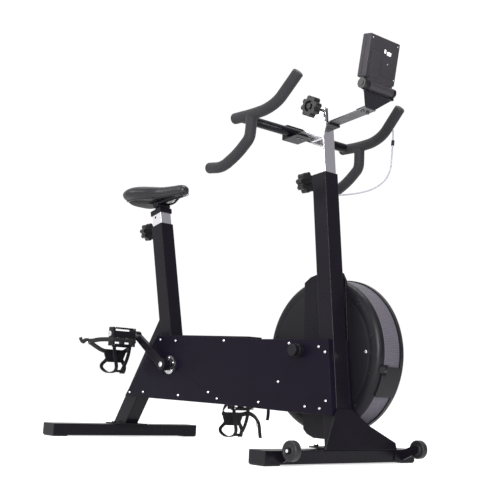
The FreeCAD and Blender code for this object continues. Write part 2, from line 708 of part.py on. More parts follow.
pr, fr = S["pulleyradius"], S["fanpulleyradius"]
belt = loop(pr + 3.8, fr + 3.8, -40.5, -32.8).cut(loop(pr + 0.4, fr + 0.4, -50, -20))
feature("drive_belt", one(belt))

# ---- cranks ----------------------------------------------------------------
feature("crank_axle", one(union([rod_y(BX, BZ, S["axleradius"], -82, 82),
                                 Part.makeCone(7, 5, 3, P(BX, -82, BZ), V(0, -1, 0)),
                                 Part.makeCone(7, 5, 3, P(BX, 82, BZ), V(0, 1, 0))])))
pul = rod_y(BX, BZ, pr, -41, -32)
hubp = rod_y(BX, BZ, 18, -41, -31)
wins = []
for k in range(5):
    a = math.radians(72 * k + 18)
    wins.append(rod_y(BX + 50 * math.cos(a), BZ + 50 * math.sin(a), 20, -50, -20))
s = union([pul, hubp]).cut(Part.makeCompound(wins)).cut(rod_y(BX, BZ, S["axleradius"], -60, 0))
feature("crank_pulley", one(s))

ang = math.atan2(90.2, -147.6)
CL = S["crankhalf"]


def crank(label, sgn, y0, y1):
    ux, uz = math.cos(ang) * sgn, math.sin(ang) * sgn
    px, pz = BX + CL * ux, BZ + CL * uz
    nx, nz = -uz, ux
    web = prism_y([(BX + nx * 15, BZ + nz * 15), (BX - nx * 15, BZ - nz * 15), (px - nx * 11, pz - nz * 11), (px + nx * 11, pz + nz * 11)], y0, y1)
    hb0, hb1 = (y0, y1 + 12) if y0 < 0 else (y0 - 12, y1)
    s = union([web, rod_y(BX, BZ, 19, hb0, hb1), rod_y(px, pz, 15, y0, y1)])
    s = s.cut(rod_y(BX, BZ, S["axleradius"], -100, 100)).cut(rod_y(px, pz, 7.0, -100, 100))
    feature(label, one(s))
    return px, pz


pnx, pnz = crank("crank_arm_near", 1, -80, -66)
pfx, pfz = crank("crank_arm_far", -1, 66, 80)

sp = []
for px, pz, s_ in ((pnx, pnz, -1), (pfx, pfz, 1)):
    a = rod_y(px, pz, 7.0, *sorted((s_ * 66, s_ * 84)))
    c = rod_y(px, pz, 10.0, *sorted((s_ * 80, s_ * 86)))
    d = rod_y(px, pz, 6.0, *sorted((s_ * 84, s_ * 178)))
    e = rod_y(px, pz, 9.0, *sorted((s_ * 178.0, s_ * 181)))
    sp.append(one(union([a, c, d, e])))
feature("pedal_spindles", Part.makeCompound(sp))


def pedal(px, pz, s_, tag):
    yc = s_ * 133.0

    def B(x0, x1, y0, y1, z0, z1):
        return box(px + x0, px + x1, yc + y0, yc + y1, pz + z0, pz + z1)
    # cage plate pedal hanging toe down: rails fore and aft of a bearing barrel
    blk = B(-13, 13, -44, 44, -38, 22)
    w1 = B(-20, 20, -34, 34, 10.5, 17)
    w2 = B(-20, 20, -34, -3, -31, -11)
    w3 = B(-20, 20, 3, 34, -31, -11)
    barrel = rod_y(px, pz, 11, yc - 44, yc + 44)
    body = union([blk.cut(Part.makeCompound([w1, w2, w3])), barrel])
    body = body.cut(rod_y(px, pz, 6.05, yc - 60, yc + 60))
    # end pocket for the spindle nut
    nutlo, nuthi = sorted((s_ * 177.7, s_ * 185))
    body = body.cut(rod_y(px, pz, 9.3, nutlo, nuthi))
    neck = sorted((s_ * 80, s_ * 86.3))
    body = body.cut(rod_y(px, pz, 10.3, neck[0], neck[1]))
    feature("pedal_body_" + tag, one(body))
    # toe cage: a root strip under the pedal and two bars that curl round the
    # toe and rise to a plate over it
    root = B(2, 5, -11, 11, -112, -38)
    flange = B(-9, 9, -32, 32, -41.3, -38)
    plate = B(-37.5, -34.5, -35, 35, -88, -50)
    bars = []
    for k in (-1, 1):
        pts = [(-36, k * 29, -80), (-43, k * 45, -98), (-41, k * 47, -112), (-27, k * 33, -123), (-9, k * 12, -122), (3.4, k * 5, -108), (3.6, k * 5, -92)]
        bars.append(pipe([(px + a, yc + b, pz + c) for a, b, c in pts], 3.0)[0])
    cg = union([root, flange, plate] + bars)

    def strip(points, wide, thick, across):
        out = []
        for p, q in zip(points, points[1:]):
            p, q = P(px + p[0], yc + p[1], pz + p[2]), P(px + q[0], yc + q[1], pz + q[2])
            u = (q - p)
            u.normalize()
            n = u.cross(across)
            n.normalize()
            a0 = p - u * 0.7
            c4 = [a0 + n * (i * thick / 2) + across * (j * wide / 2) for i, j in ((1, 1), (1, -1), (-1, -1), (-1, 1))]
            out.append(Part.Face(Part.makePolygon(c4 + [c4[0]])).extrude(q - p + u * 1.4))
        return out
    # strap: round the pedal, over the cage's plate, to a buckle on the outer side
    up = V(0, 0, 1)
    bk = (-60, s_ * 92, -28)
    st_ = strip([bk, (-12, s_ * 47.4, -18.5), (14.9, s_ * 45.8, -18.5), (14.9, -s_ * 45.8, -18.5), (-10, -s_ * 45.8, -19.5), (-40, -s_ * 40, -56),
                 (-40, s_ * 40, -56), bk], 15.0, 1.6, up)
    if s_ < 0:
        tl = strip([bk, (-74, s_ * 106, -24), (-84, s_ * 116, -30)], 13.0, 1.6, up)
    else:
        tl = strip([(-60, s_ * 93.4, -24), (-63, s_ * 103, -58), (-66, s_ * 108, -100)], 13.0, 1.6, V(1, 0, 0))
    buck = B(-65, -55, *sorted((s_ * 88, s_ * 95)), -38, -18)
    strap = union(st_ + tl + [buck])
    feature("toe_cage_" + tag, Part.makeCompound([one(cg), one(strap)]))


pedal(pnx, pnz, -1, "near")
pedal(pfx, pfz, 1, "far")

# ---- seat post, liner, clamp, saddle -----------------------------------------
seat_rot = ROT(V(0, 1, 0), -S["seatangle"])
lx0, lz0 = SQ(-S["linerlong"], 0)
hexpr = "(Sizes.seatlinerdeep - Sizes.seatpostdeep - 2*Sizes.linerclear)/2"
t = tube_body("seat_liner_stock", 52.4, 47.1, "Sizes.seatlinerdeep", "Sizes.seatlinerwide",
              "((Sizes.seatlinerdeep - Sizes.seatpostdeep)/2 - Sizes.linerclear)", 1.3, "Sizes.linerlong",
              PL(P(lx0, 0, lz0), seat_rot), rad=0)
hole = cyl("seat_liner_hole", 6, 60, None, None, PL(P(rear + 20, 0, KZ), ALONG_MX))
seat_liner = cut("seat_liner_cut", t, hole)

# the post's top stands above the tube
ptop = (771.3 - zt) / ca
px0, pz0 = SQ(ptop - S["seatpostlong"], 0)
t = tube_body("seat_post_stock", 49.2, 43.2, "Sizes.seatpostdeep", "Sizes.seatpostwide", "Sizes.postwall", 2.0,
              "Sizes.seatpostlong", PL(P(px0, 0, pz0), seat_rot))
hx, hz = SQ(ptop - 24, -6)
hole = cyl("seat_post_hole", 4.2, 30, None, None, PL(P(hx, -35, hz), ALONG_Y))
node(cut("seat_post_cut", t, hole), "seat_post")

# collar over the post's head, neck and cross barrel
TX, TZ = seat_x(771.3), 790.0


def tilted(x0, x1, y0, y1, a0_, a1_, frame):
    """Box in a post's own frame: across, sideways, along."""
    pts = [frame(a0_, x0), frame(a0_, x1), frame(a1_, x1), frame(a1_, x0)]
    return prism_y(pts, y0, y1)


collar = tilted(-27.5, 27.5, -24.5, 24.5, ptop - 14, ptop + 3, SQ).cut(tilted(-24.6, 24.6, -21.6, 21.6, ptop - 20, ptop, SQ))
neck = prism_y([(TX - 15, 771), (TX + 15, 771), (TX + 10, TZ), (TX - 10, TZ)], -15, 15)
barrel = rod_y(TX, TZ, 12, -16.5, 16.5)
s = union([collar, neck, barrel]).cut(rod_y(TX, TZ, 5.05, -60, 60))
feature("seat_clamp", one(s))

# rails: two rods joined by the clamp's cheek discs and cross bolt
rails = []
for s_ in (-1, 1):
    yy = s_ * 21.5
    rp, _, _ = pipe([(40, yy, 812), (88, yy, 798), (TX, yy, 796), (178, yy, 797), (222, yy * 0.55, 814)], 3.5)
    rails.append(rp)
    rails.append(rod_y(TX, TZ, 13, *sorted((s_ * 17.0, s_ * 26.0))))
rails.append(rod_y(TX, TZ, 5.0, -30, 30))
rails.append(rod_y(TX, TZ, 8.0, 26, 31))
rails.append(rod_y(TX, TZ, 8.0, -31, -26))
s = union(rails)
feature("saddle_rails", one(s))

# saddle: moulded base and padded top, loft through cross sections
SEC = [(2, 58, 820, 838), (20, 84, 812, 856), (60, 90, 809, 863), (110, 70, 811, 858), (160, 42, 813, 853), (215, 28, 814, 852), (255, 22, 816, 850), (272, 13, 823, 842)]


def saddle_loft(rows, outline):
    """Closed ruled loft through sections that all have the same number of corners."""
    ws = []
    for x, hw, zb, zt_ in rows:
        pts = [P(x, yy, zz) for yy, zz in outline(hw, zb, zt_)]
        ws.append(Part.makePolygon(pts + [pts[0]]))
    return Part.makeLoft(ws, True, True)


ZS = 817.0


def pad_outline(a, zb, zt_):
    zt_ = max(zt_, ZS + 14)
    m = ZS + (zt_ - ZS) * 0.45
    return [(-a * 0.9, ZS), (a * 0.9, ZS), (a, m - 6), (a * 0.98, m + 4), (a * 0.86, zt_ - 5), (a * 0.55, zt_ - 1), (0, zt_),
            (-a * 0.55, zt_ - 1), (-a * 0.86, zt_ - 5), (-a * 0.98, m + 4), (-a, m - 6)]


def base_outline(a, zb, zt_):
    zb = min(zb, ZS - 4)
    return [(-a * 0.55, zb), (a * 0.55, zb), (a * 0.9, ZS - 1.5), (a * 0.9, ZS), (-a * 0.9, ZS), (-a * 0.9, ZS - 1.5)]


pad_ = saddle_loft(SEC, pad_outline)
base_ = saddle_loft(SEC, base_outline)
base_ = union([base_, box(30, 58, -30, 30, 806, ZS - 1), box(205, 232, -18, 18, 808, ZS - 1)]).cut(s)
base_ = max(base_.Solids, key=lambda q: q.Volume)
feature("saddle_base", base_)
feature("saddle_pad", one(pad_))


# ---- star knobs ---------------------------------------------------------------
def star(cx, cy, cz, direction, length, tip, rbolt=None, r_out=30.0):
    """Eight-lobed hand knob with its bolt; direction points from the knob to the bolt's tip."""
    rb = rbolt or S["boltradius"]
    th = S["knobthick"]
    pts = []
    bodyp = Part.makeCylinder(r_out * 0.80, th, V(0, 0, -th / 2))
    lobes = [Part.makeCylinder(r_out * 0.235, th, V(r_out * 0.765 * math.cos(math.pi * k / 4), r_out * 0.765 * math.sin(math.pi * k / 4), -th / 2)) for k in range(8)]
    s = bodyp.multiFuse(lobes)
    s = s.cut(Part.makeCylinder(r_out * 0.52, 7, V(0, 0, -th / 2 - 0.01)))
    s = s.multiFuse([Part.makeCylinder(9, 8, V(0, 0, th / 2)), Part.makeCylinder(rb, length, V(0, 0, -4)), Part.makeCylinder(8, 6.5, V(0, 0, -th / 2 + 0.3))])
    s = s.removeSplitter()
    rot = ROT(V(0, 0, 1), V(*direction))
    s.Placement = PL(P(cx, cy, cz), rot)
    return s


seat_face = seat_x(KZ) - S["seatpostdeep"] / 2 / ca      # rear face of the post at the bolt
kx = rear - 52.0
feature("seat_knob", one(star(kx, 0, KZ, (1, 0, 0), seat_face - 6.2 * sa - 0.6 - kx + 4, 0)))
post_face = front_x(PKZ) - S["barpostdeep"] / 2 / ct
kx2 = frear - 50.0
feature("bar_post_knob", one(star(kx2, 0, PKZ, (1, 0, 0), post_face - 5.2 * st - 0.6 - kx2 + 4, 0)))

# ---- handlebar post ---------------------------------------------------------
bar_rot = ROT(V(0, 1, 0), -S["frontangle"])
lx0, lz0 = FQ(-S["linerlong"], 0)
t = tube_body("bar_liner_stock", 48.1, 48.2, "Sizes.barlinerdeep", "Sizes.barlinerwide",
              "((Sizes.barlinerdeep - Sizes.barpostdeep)/2 - Sizes.linerclear)", 1.25, "Sizes.linerlong",
              PL(P(lx0, 0, lz0), bar_rot), rad=0)
hole = cyl("bar_liner_hole", 6, 60, None, None, PL(P(frear + 20, 0, PKZ), ALONG_MX))
g2 = cyl("bar_liner_hole2", 6, 10, None, None, PL(P(gx, 18, GZ), ALONG_Y))
c1 = cut("bar_liner_c1", t, hole)
bar_liner = cut("bar_liner_c2", c1, g2)
both = doc.addObject("Part::Compound", "post_liners_pair")
both.Links = [seat_liner, bar_liner]
node(both, "post_liners")

btop = (923.2 - zp) / ct
bx0, bz0 = FQ(btop - S["barpostlong"], 0)
t = tube_body("bar_post", 45, 45, "Sizes.barpostdeep", "Sizes.barpostwide", "Sizes.postwall", 2.0,
              "Sizes.barpostlong", PL(P(bx0, 0, bz0), bar_rot))
node(t, "bar_post")


# head frame: u forward along the arm, w up along the post, from the post's top
def HQ(w, u):
    return FQ(btop + w, u)


padh = union([tilted(-23, 46, -22.5, 22.5, 0, 6, HQ), tilted(-19.5, 19.5, -20, 20, -16, 0, HQ)])
gbx, gbz = HQ(6, 2)
ax = V(-st, 0, ct)
guide = Part.makeCylinder(4.0, 8.5, P(gbx, 0, gbz), ax)
ghead = Part.makeCylinder(8.0, 4.0, P(HQ(10.8, 2)[0], 0, HQ(10.8, 2)[1]), ax)
s = union([padh, guide, ghead])
feature("bar_head_pad", one(s))
LU, LW = 28.0, 45.0
lpx, lpz = HQ(LW, LU)
lugp = prism_y([HQ(-34, -22.5), HQ(-34, 22.5), HQ(0, 38), HQ(52, 38), HQ(60, -48), HQ(12, -48)], -27.0, -22.5)
lugp = lugp.cut(rod_y(lpx, lpz, 4.05, -40, 0))
feature("bar_head_lug", one(lugp))

# reach arm: flat steel strip with a slot, a clamping fin, end holes
arm = tilted(-104, 180, -20, 20, 6.3, 6.3 + S["armthick"], HQ)
sl = tilted(-47, 2, -4.35, 4.35, 0, 20, HQ)
slr = []
for uu in (-47, 2):
    q = HQ(0, uu)
    slr.append(Part.makeCylinder(4.35, 30, P(q[0], 0, q[1]), ax))
fin = tilted(-20, 36, -17.5, -13.5, 10.3, 52, HQ)
arm = union([arm, fin]).cut(Part.makeCompound([sl] + slr))
bl = []
for uu, yy in ((-92, 9), (-92, -9), (160, 10), (160, -10)):
    q = HQ(1.3, uu)
    bl.append(Part.makeCylinder(4.5, 5.0, P(q[0], yy, q[1]), ax))
arm = union([arm] + bl)
HX, HZ = 784.0, 932.0
arm = arm.cut(rod_y(HX, HZ, 13.55, -60, 60))
feature("reach_arm", one(arm))

# knob that locks the reach, its bolt running across through the lug
feature("reach_knob", one(star(lpx, -72, lpz, (0, 1, 0), 72 - 17.9 + 4, 0, rbolt=4.0)))

# ---- handlebar ---------------------------------------------------------------
cores, foams = [], []
for s_ in (-1, 1):
    yj = s_ * 218.0
    yt = s_ * 207.0
    side = [(768, yj, 931), (836, yj, 930), (892, s_ * 216, 934), (934, s_ * 213, 950), (996, yt, 1013)]
    drop = [(835, yj, 931), (836, s_ * 219, 893), (834, s_ * 220, 864), (790, s_ * 221, 828), (727, s_ * 222, 797), (672, s_ * 222, 803)]
    a, _, r1 = pipe(side, S["coreradius"])
    d, _, r2 = pipe(drop, S["coreradius"])
    cores += [a, d]
    e0 = S["foamradius"]
    fs = [(765, yj, 931)] + side[1:-1] + [(998.2, s_ * 206.6, 1015.2)]
    fd = drop[:-1] + [(669, s_ * 222, 803.3)]
    fa, _, _ = pipe(fs, e0)
    fb, _, _ = pipe(fd, e0)
    foams.append((fa, fb))
basebar = rod_y(HX, HZ, 13.5, -209, 209)
core = union(cores + [basebar])
feature("handlebar_core", one(core))
grips = []
for fa, fb in foams:
    f = fa.fuse(fb).removeSplitter().cut(core)
    grips.append(max(f.Solids, key=lambda q: q.Volume))
feature("foam_grips", Part.makeCompound(grips))

# bar clamp: lower cradle under the arm's rear end with side web plates
cr = HQ(6.3, -104)
cradle = prism_y([(HX - 24, HZ - 22), HQ(2.3, -70), HQ(6.3, -70), HQ(6.3, -104), (HX + 15, HZ), (HX - 24, HZ)], -32, 32)
cap = prism_y([(HX - 24, HZ), (HX - 6, HZ), (HX - 4, HZ + 21), (HX - 20, HZ + 21)], -32, 32)
s = union([cradle, cap, rod_y(HX, HZ, 19, -32, 32)])
s = s.cut(rod_y(HX, HZ, 13.5, -100, 100))
s = s.cut(tilted(-106, 184, -60, 60, 6.3, 80, HQ))
for uu, yy in ((-92, 9), (-92, -9)):
    q = HQ(-6, uu)
    s = s.cut(Part.makeCylinder(4.6, 20, P(q[0], yy, q[1]), ax))
feature("bar_clamp", one(s))

# ---- console -------------------------------------------------------------------
CX, CZ = 1098.0, 1002.0
q0, q1 = HQ(10.3, 148), HQ(10.3, 180)
footp = tilted(146, 180, -20, 20, 10.3, 13.3, HQ)
lo = HQ(10.3, 180)
# trapezoid web from the arm's end up to the ears
w0 = [P(lo[0] - 3, -20, lo[1]), P(lo[0] - 3, 20, lo[1]), P(CX - 3, 57, CZ - 17), P(CX - 3, -57, CZ - 17)]
web = Part.Face(Part.makePolygon(w0 + [w0[0]])).extrude(V(4, 0, 0))
ears = []
for s_ in (-1, 1):
    ya, yb = sorted((s_ * 47.0, s_ * 57.0))
    ears.append(prism_y([(CX - 13, CZ), (CX - 3.2, CZ - 17.2), (CX + 1, CZ - 17.2), (CX + 13, CZ)], ya, yb))
    ears.append(rod_y(CX, CZ, 13, ya, yb))
shelf = prism_y([(CX - 4, CZ - 20), (CX + 4, CZ - 20), (CX + 4, CZ - 15.5), (CX - 4, CZ - 15.5)], -57, 57)
s = union([footp, web, shelf] + ears).cut(rod_y(CX, CZ, 4.05, -100, 100))
for uu, yy in ((160, 10), (160, -10)):
    q = HQ(0, uu)
    s = s.cut(Part.makeCylinder(4.6, 40, P(q[0], yy, q[1]), ax))
feature("console_bracket", one(s))

tl = math.radians(9.0)


def CQ(up, back):
    """Console frame: up its face from the pivot, back towards the front of the bike."""
    return (CX + up * math.sin(tl) + back * math.cos(tl), CZ + up * math.cos(tl) - back * math.sin(tl))


U0, U1 = 20.0, 20.0 + S["consolehigh"]
t0, t1 = -S["consolethick"] - 1, -1.0
case = prism_y([CQ(U0, t0), CQ(U0, t1), CQ(U1, t1), CQ(U1, t0)], -60, 60)
vert = [e for e in case.Edges if abs(e.Vertexes[0].Point.y - e.Vertexes[-1].Point.y) < 0.01]
long_e = [e for e in case.Edges if e.Length > 100]
case = case.makeFillet(4.0, case.Edges)
# shallow recess for the display
rec = prism_y([CQ(U0 + 34, t0 - 5), CQ(U0 + 34, t0 + 1.6), CQ(U1 - 9, t0 + 1.6), CQ(U1 - 9, t0 - 5)], -51, 51)
bh = prism_y([CQ(U0 + 11, t0 - 5), CQ(U0 + 11, t0 + 5.0), CQ(U0 + 25, t0 + 5.0), CQ(U0 + 25, t0 - 5)], -9.2, 9.2)
rib = prism_y([CQ(U0 + 4, t1 - 1), CQ(U0 + 4, t1 + 6), CQ(U0 + 74, t1 + 6), CQ(U0 + 74, t1 - 1)], -48, -14)
lowb = prism_y([CQ(12, t1 - 18), CQ(12, t1 + 5), CQ(U0 + 12, t1 + 5), CQ(U0 + 12, t1 - 18)], -46, 46)
knuck = rod_y(CX, CZ, 13, -46.5, 46.5)
s = union([case, rib, lowb, knuck]).cut(Part.makeCompound([rec, bh])).cut(rod_y(CX, CZ, 4.05, -100, 100))
for s_ in (-1, 1):
    s = s.cut(rod_y(CX, CZ, 13.6, *sorted((s_ * 46.5, s_ * 70))))
feature("console_case", one(s))
scr_ = prism_y([CQ(U0 + 34.2, t0 + 0.3), CQ(U0 + 34.2, t0 + 1.6), CQ(U1 - 9.2, t0 + 1.6), CQ(U1 - 9.2, t0 + 0.3)], -50.8, 50.8)
feature("console_screen", scr_)
btn = prism_y([CQ(U0 + 11.4, t0 - 1.2), CQ(U0 + 11.4, t0 + 2.6), CQ(U0 + 24.6, t0 + 2.6), CQ(U0 + 24.6, t0 - 1.2)], -8.8, 8.8)
feature("console_button", btn)
kk = union([rod_y(CX, CZ, 14, -70, -58.2), rod_y(CX, CZ, 7, -71.5, -70), rod_y(CX, CZ, 4.0, -60, 62.5), rod_y(CX, CZ, 7.0, 57.4, 62.5)])
feature("console_knob", one(kk))

# ---- transport wheels ------------------------------------------------------------
WX, WZ = 1070.0, 50.0
FF = FX + S["frontfootwide"] / 2
br = []
for s_ in (-1, 1):
    yc = s_ * 240.0
    i0, i1 = sorted((yc - s_ * 16.0, yc - s_ * 11.0))
    arm_ = prism_y([(FF, 18), (FF + 5, 18), (WX + 6, WZ - 9), (WX + 6, WZ + 9), (WX - 4, WZ + 11), (FF, 44)], i0, i1)
    back = box(FF, FF + 3.5, *sorted((yc - s_ * 16.0, yc - s_ * 46.0)), 18, 44)
    axle = rod_y(WX, WZ, S["wheelaxle"], *sorted((yc - s_ * 16.0, yc + s_ * 14.0)))
    head = rod_y(WX, WZ, 8.0, *sorted((yc + s_ * 10.6, yc + s_ * 15.0)))
    br.append(one(union([arm_, back, axle, head])))
feature("wheel_brackets", Part.makeCompound(br))
wr, ww = S["wheelradius"], S["wheelwide"]
wb = S["wheelaxle"] + S["runclear"]
prof = [(wb, 0), (12, 0), (13, 2), (18, 2), (19, 0), (wr - 2, 0), (wr, 2.5), (wr, ww - 2.5), (wr - 2, ww), (19, ww), (18, ww - 2), (13, ww - 2), (12, ww), (wb, ww)]
node(rev_body("wheel_near", prof, PL(P(WX, -240 - ww / 2, WZ), ALONG_Y)), "wheel_near")
node(rev_body("wheel_far", prof, PL(P(WX, 240 - ww / 2, WZ), ALONG_Y)), "wheel_far")

# ---- cable, connector and grommet ---------------------------------------------
py = S["frontpostwide"] / 2
gr = union([rod_y(gx, GZ, 7.5, py, py + 3), rod_y(gx, GZ, 4.9, py - 1.5, py)])
gr = gr.cut(rod_y(gx, GZ, 2.9, 0, 60))
feature("cable_grommet", one(gr))
cpts = [(972.5, 209.5, 957.5), (976.0, 208.0, 930.0), (977.0, 204.0, 903.0), (985.0, 193.0, 868.0), (1001.0, 172.0, 828.0), (1008.0, 143.0, 790.0),
        (998.0, 110.0, 762.0), (975.0, 82.0, 748.0), (945.0, 62.0, 743.0), (gx + 3.0, 50.0, GZ), (gx, py + 0.2, GZ)]
cab, cw, crad = pipe(cpts, S["cableradius"])
print("cable radii", [round(r, 1) for r in crad], "length", round(cw.Length, 1), "volume ratio", round(cab.Volume / (cw.Length * math.pi * S["cableradius"] ** 2), 4))
# in-line plug on the cable, round the run below its first bend
a = P(*cpts[1])
b_ = P(*cpts[2])
d = (b_ - a)
d.normalize()
m = (a + b_) * 0.5
plug = Part.makeCylinder(4.6, 15.0, m - d * 7.5, d)
feature("sensor_cable", one(cab.cut(plug)))
feature("cable_plug", one(plug))

# ---- check and write -------------------------------------------------------------
doc.recompute()
bad = []
for o in doc.Objects:
    st_ = [x for x in o.State if x in ("Invalid", "Error")]
    if st_:
        bad.append((o.Name, st_))
for o in NODES:
    if o.Shape.isNull() or not o.Shape.isValid() or not o.Shape.Solids:
        bad.append((o.Label, "shape"))
print("nodes", len(NODES), "bad", bad)
bb = FreeCAD.BoundBox()
for o in NODES:
    bb.add(o.Shape.BoundBox)
print("box", [round(v, 2) for v in (bb.XMin, bb.XMax, bb.YMin, bb.YMax, bb.ZMin, bb.ZMax)])
if bad:
    raise RuntimeError(str(bad))
if len(NODES) > 60:
    raise RuntimeError("too many nodes")
os.makedirs("parts", exist_ok=True)
for o in NODES:
    o.Shape.exportStep("parts/%s.step" % o.Label)
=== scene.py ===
import bpy, bmesh, math, json, random
from mathutils import Vector, Matrix


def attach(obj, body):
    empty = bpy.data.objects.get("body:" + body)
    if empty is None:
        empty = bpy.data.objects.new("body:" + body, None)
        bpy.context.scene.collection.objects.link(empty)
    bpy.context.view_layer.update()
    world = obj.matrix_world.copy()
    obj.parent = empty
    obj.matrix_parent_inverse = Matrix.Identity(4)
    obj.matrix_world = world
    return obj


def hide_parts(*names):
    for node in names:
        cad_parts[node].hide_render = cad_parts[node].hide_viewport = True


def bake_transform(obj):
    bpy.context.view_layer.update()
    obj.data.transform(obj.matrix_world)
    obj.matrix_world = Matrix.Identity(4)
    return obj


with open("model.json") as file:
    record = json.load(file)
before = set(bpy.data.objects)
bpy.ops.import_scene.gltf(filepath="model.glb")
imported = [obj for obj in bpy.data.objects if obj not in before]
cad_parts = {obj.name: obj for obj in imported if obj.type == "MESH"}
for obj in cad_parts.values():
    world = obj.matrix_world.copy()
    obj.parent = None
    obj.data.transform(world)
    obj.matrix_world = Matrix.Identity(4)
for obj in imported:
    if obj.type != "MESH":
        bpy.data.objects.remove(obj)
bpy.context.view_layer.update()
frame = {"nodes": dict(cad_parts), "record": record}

N = frame["nodes"]
SH = -542.26
LIFT = -9.5
WHX, WHZ = 1070.0, 50.0


def P(x, y, z):
    """Drawing position in mm (x from the rear foot) to the row frame in m."""
    return Vector(((x + SH) / 1000.0, y / 1000.0, (z + LIFT) / 1000.0))


# ------------------------------------------------------------------ camera
yaw, pitch, roll = 2.4243, 0.1431, 0.0507
d = Vector((math.cos(pitch) * math.cos(yaw), math.cos(pitch) * math.sin(yaw), math.sin(pitch)))
right = d.cross(Vector((0, 0, 1))).normalized()
up = right.cross(d)
Rv = right * math.cos(roll) + up * math.sin(roll)
Uv = -right * math.sin(roll) + up * math.cos(roll)
cam_data = bpy.data.cameras.new("camera")
cam = bpy.data.objects.new("camera", cam_data)
bpy.context.scene.collection.objects.link(cam)
m = Matrix.Identity(4)
for i in range(3):
    m[i][0], m[i][1], m[i][2] = Rv[i], Uv[i], -d[i]
m.translation = P(2715.87, -1839.98, 199.31)
cam.matrix_world = m
cam_data.sensor_width = 36.0
cam_data.lens = 67.69
cam_data.clip_end = 50.0
bpy.context.scene.camera = cam


# --------------------------------------------------------------- materials
def new_mat(name):
    mt = bpy.data.materials.new(name)
    mt.use_nodes = True
    nt = mt.node_tree
    b = nt.nodes["Principled BSDF"]
    return mt, nt, b


def finish(name, col, rough=0.5, metal=0.0, var=0.12, vscale=9.0, rvar=0.08, rscale=30.0, bumps=((900.0, 0.15, 0.0003),),
           stretch=None, coat=0.0, sheen=0.0, kind="noise", spec=0.5, dust=0.0):
    """Procedural finish: colour drift, roughness drift and one or more layers of fine relief."""
    mt, nt, b = new_mat(name)
    L = nt.links
    tc = nt.nodes.new("ShaderNodeTexCoord")
    mp = nt.nodes.new("ShaderNodeMapping")
    if stretch:
        mp.inputs["Scale"].default_value = stretch
    L.new(tc.outputs["Object"], mp.inputs["Vector"])
    n1 = nt.nodes.new("ShaderNodeTexNoise")
    n1.inputs["Scale"].default_value = vscale
    n1.inputs["Detail"].default_value = 5.0
    L.new(tc.outputs["Object"], n1.inputs["Vector"])
    ramp = nt.nodes.new("ShaderNodeValToRGB")
    ramp.color_ramp.elements[0].position = 0.3
    ramp.color_ramp.elements[1].position = 0.72
    ramp.color_ramp.elements[0].color = tuple(c * (1 - var) for c in col) + (1,)
    ramp.color_ramp.elements[1].color = tuple(min(1.0, c * (1 + var)) for c in col) + (1,)
    L.new(n1.outputs["Fac"], ramp.inputs["Fac"])
    last = ramp.outputs["Color"]
    if dust > 0:
        n3 = nt.nodes.new("ShaderNodeTexNoise")
        n3.inputs["Scale"].default_value = 420.0
        n3.inputs["Detail"].default_value = 3.0
        L.new(tc.outputs["Object"], n3.inputs["Vector"])
        r3 = nt.nodes.new("ShaderNodeValToRGB")
        r3.color_ramp.elements[0].position = 0.62
        r3.color_ramp.elements[1].position = 0.78
        r3.color_ramp.elements[0].color = (0, 0, 0, 1)
        r3.color_ramp.elements[1].color = (dust, dust, dust, 1)
        L.new(n3.outputs["Fac"], r3.inputs["Fac"])
        ad = nt.nodes.new("ShaderNodeMixRGB")
        ad.blend_type = "ADD"
        ad.inputs["Fac"].default_value = 1.0
        L.new(last, ad.inputs["Color1"])
        L.new(r3.outputs["Color"], ad.inputs["Color2"])
        last = ad.outputs["Color"]
    L.new(last, b.inputs["Base Color"])
    n2 = nt.nodes.new("ShaderNodeTexNoise")
    n2.inputs["Scale"].default_value = rscale
    n2.inputs["Detail"].default_value = 4.0
    L.new(mp.outputs["Vector"], n2.inputs["Vector"])
    mr = nt.nodes.new("ShaderNodeMapRange")
    mr.inputs["To Min"].default_value = max(0.02, rough - rvar)
    mr.inputs["To Max"].default_value = min(1.0, rough + rvar)
    L.new(n2.outputs["Fac"], mr.inputs["Value"])
    L.new(mr.outputs["Result"], b.inputs["Roughness"])
    prev = None
    for sc, st, dist in bumps:
        if kind == "grain":
            t = nt.nodes.new("ShaderNodeTexVoronoi")
            t.inputs["Scale"].default_value = sc
            out = t.outputs["Distance"]
        else:
            t = nt.nodes.new("ShaderNodeTexNoise")
            t.inputs["Scale"].default_value = sc
            t.inputs["Detail"].default_value = 3.0
            out = t.outputs["Fac"]
        L.new(mp.outputs["Vector"], t.inputs["Vector"])
        bp = nt.nodes.new("ShaderNodeBump")
        bp.inputs["Strength"].default_value = st
        bp.inputs["Distance"].default_value = dist
        L.new(out, bp.inputs["Height"])
        if prev is not None:
            L.new(prev, bp.inputs["Normal"])
        prev = bp.outputs["Normal"]
    if prev is not None:
        L.new(prev, b.inputs["Normal"])
    b.inputs["Metallic"].default_value = metal
    b.inputs["Specular IOR Level"].default_value = spec
    if coat:
        b.inputs["Coat Weight"].default_value = coat
        b.inputs["Coat Roughness"].default_value = 0.25
    if sheen:
        b.inputs["Sheen Weight"].default_value = sheen
        b.inputs["Sheen Roughness"].default_value = 0.5
    return mt


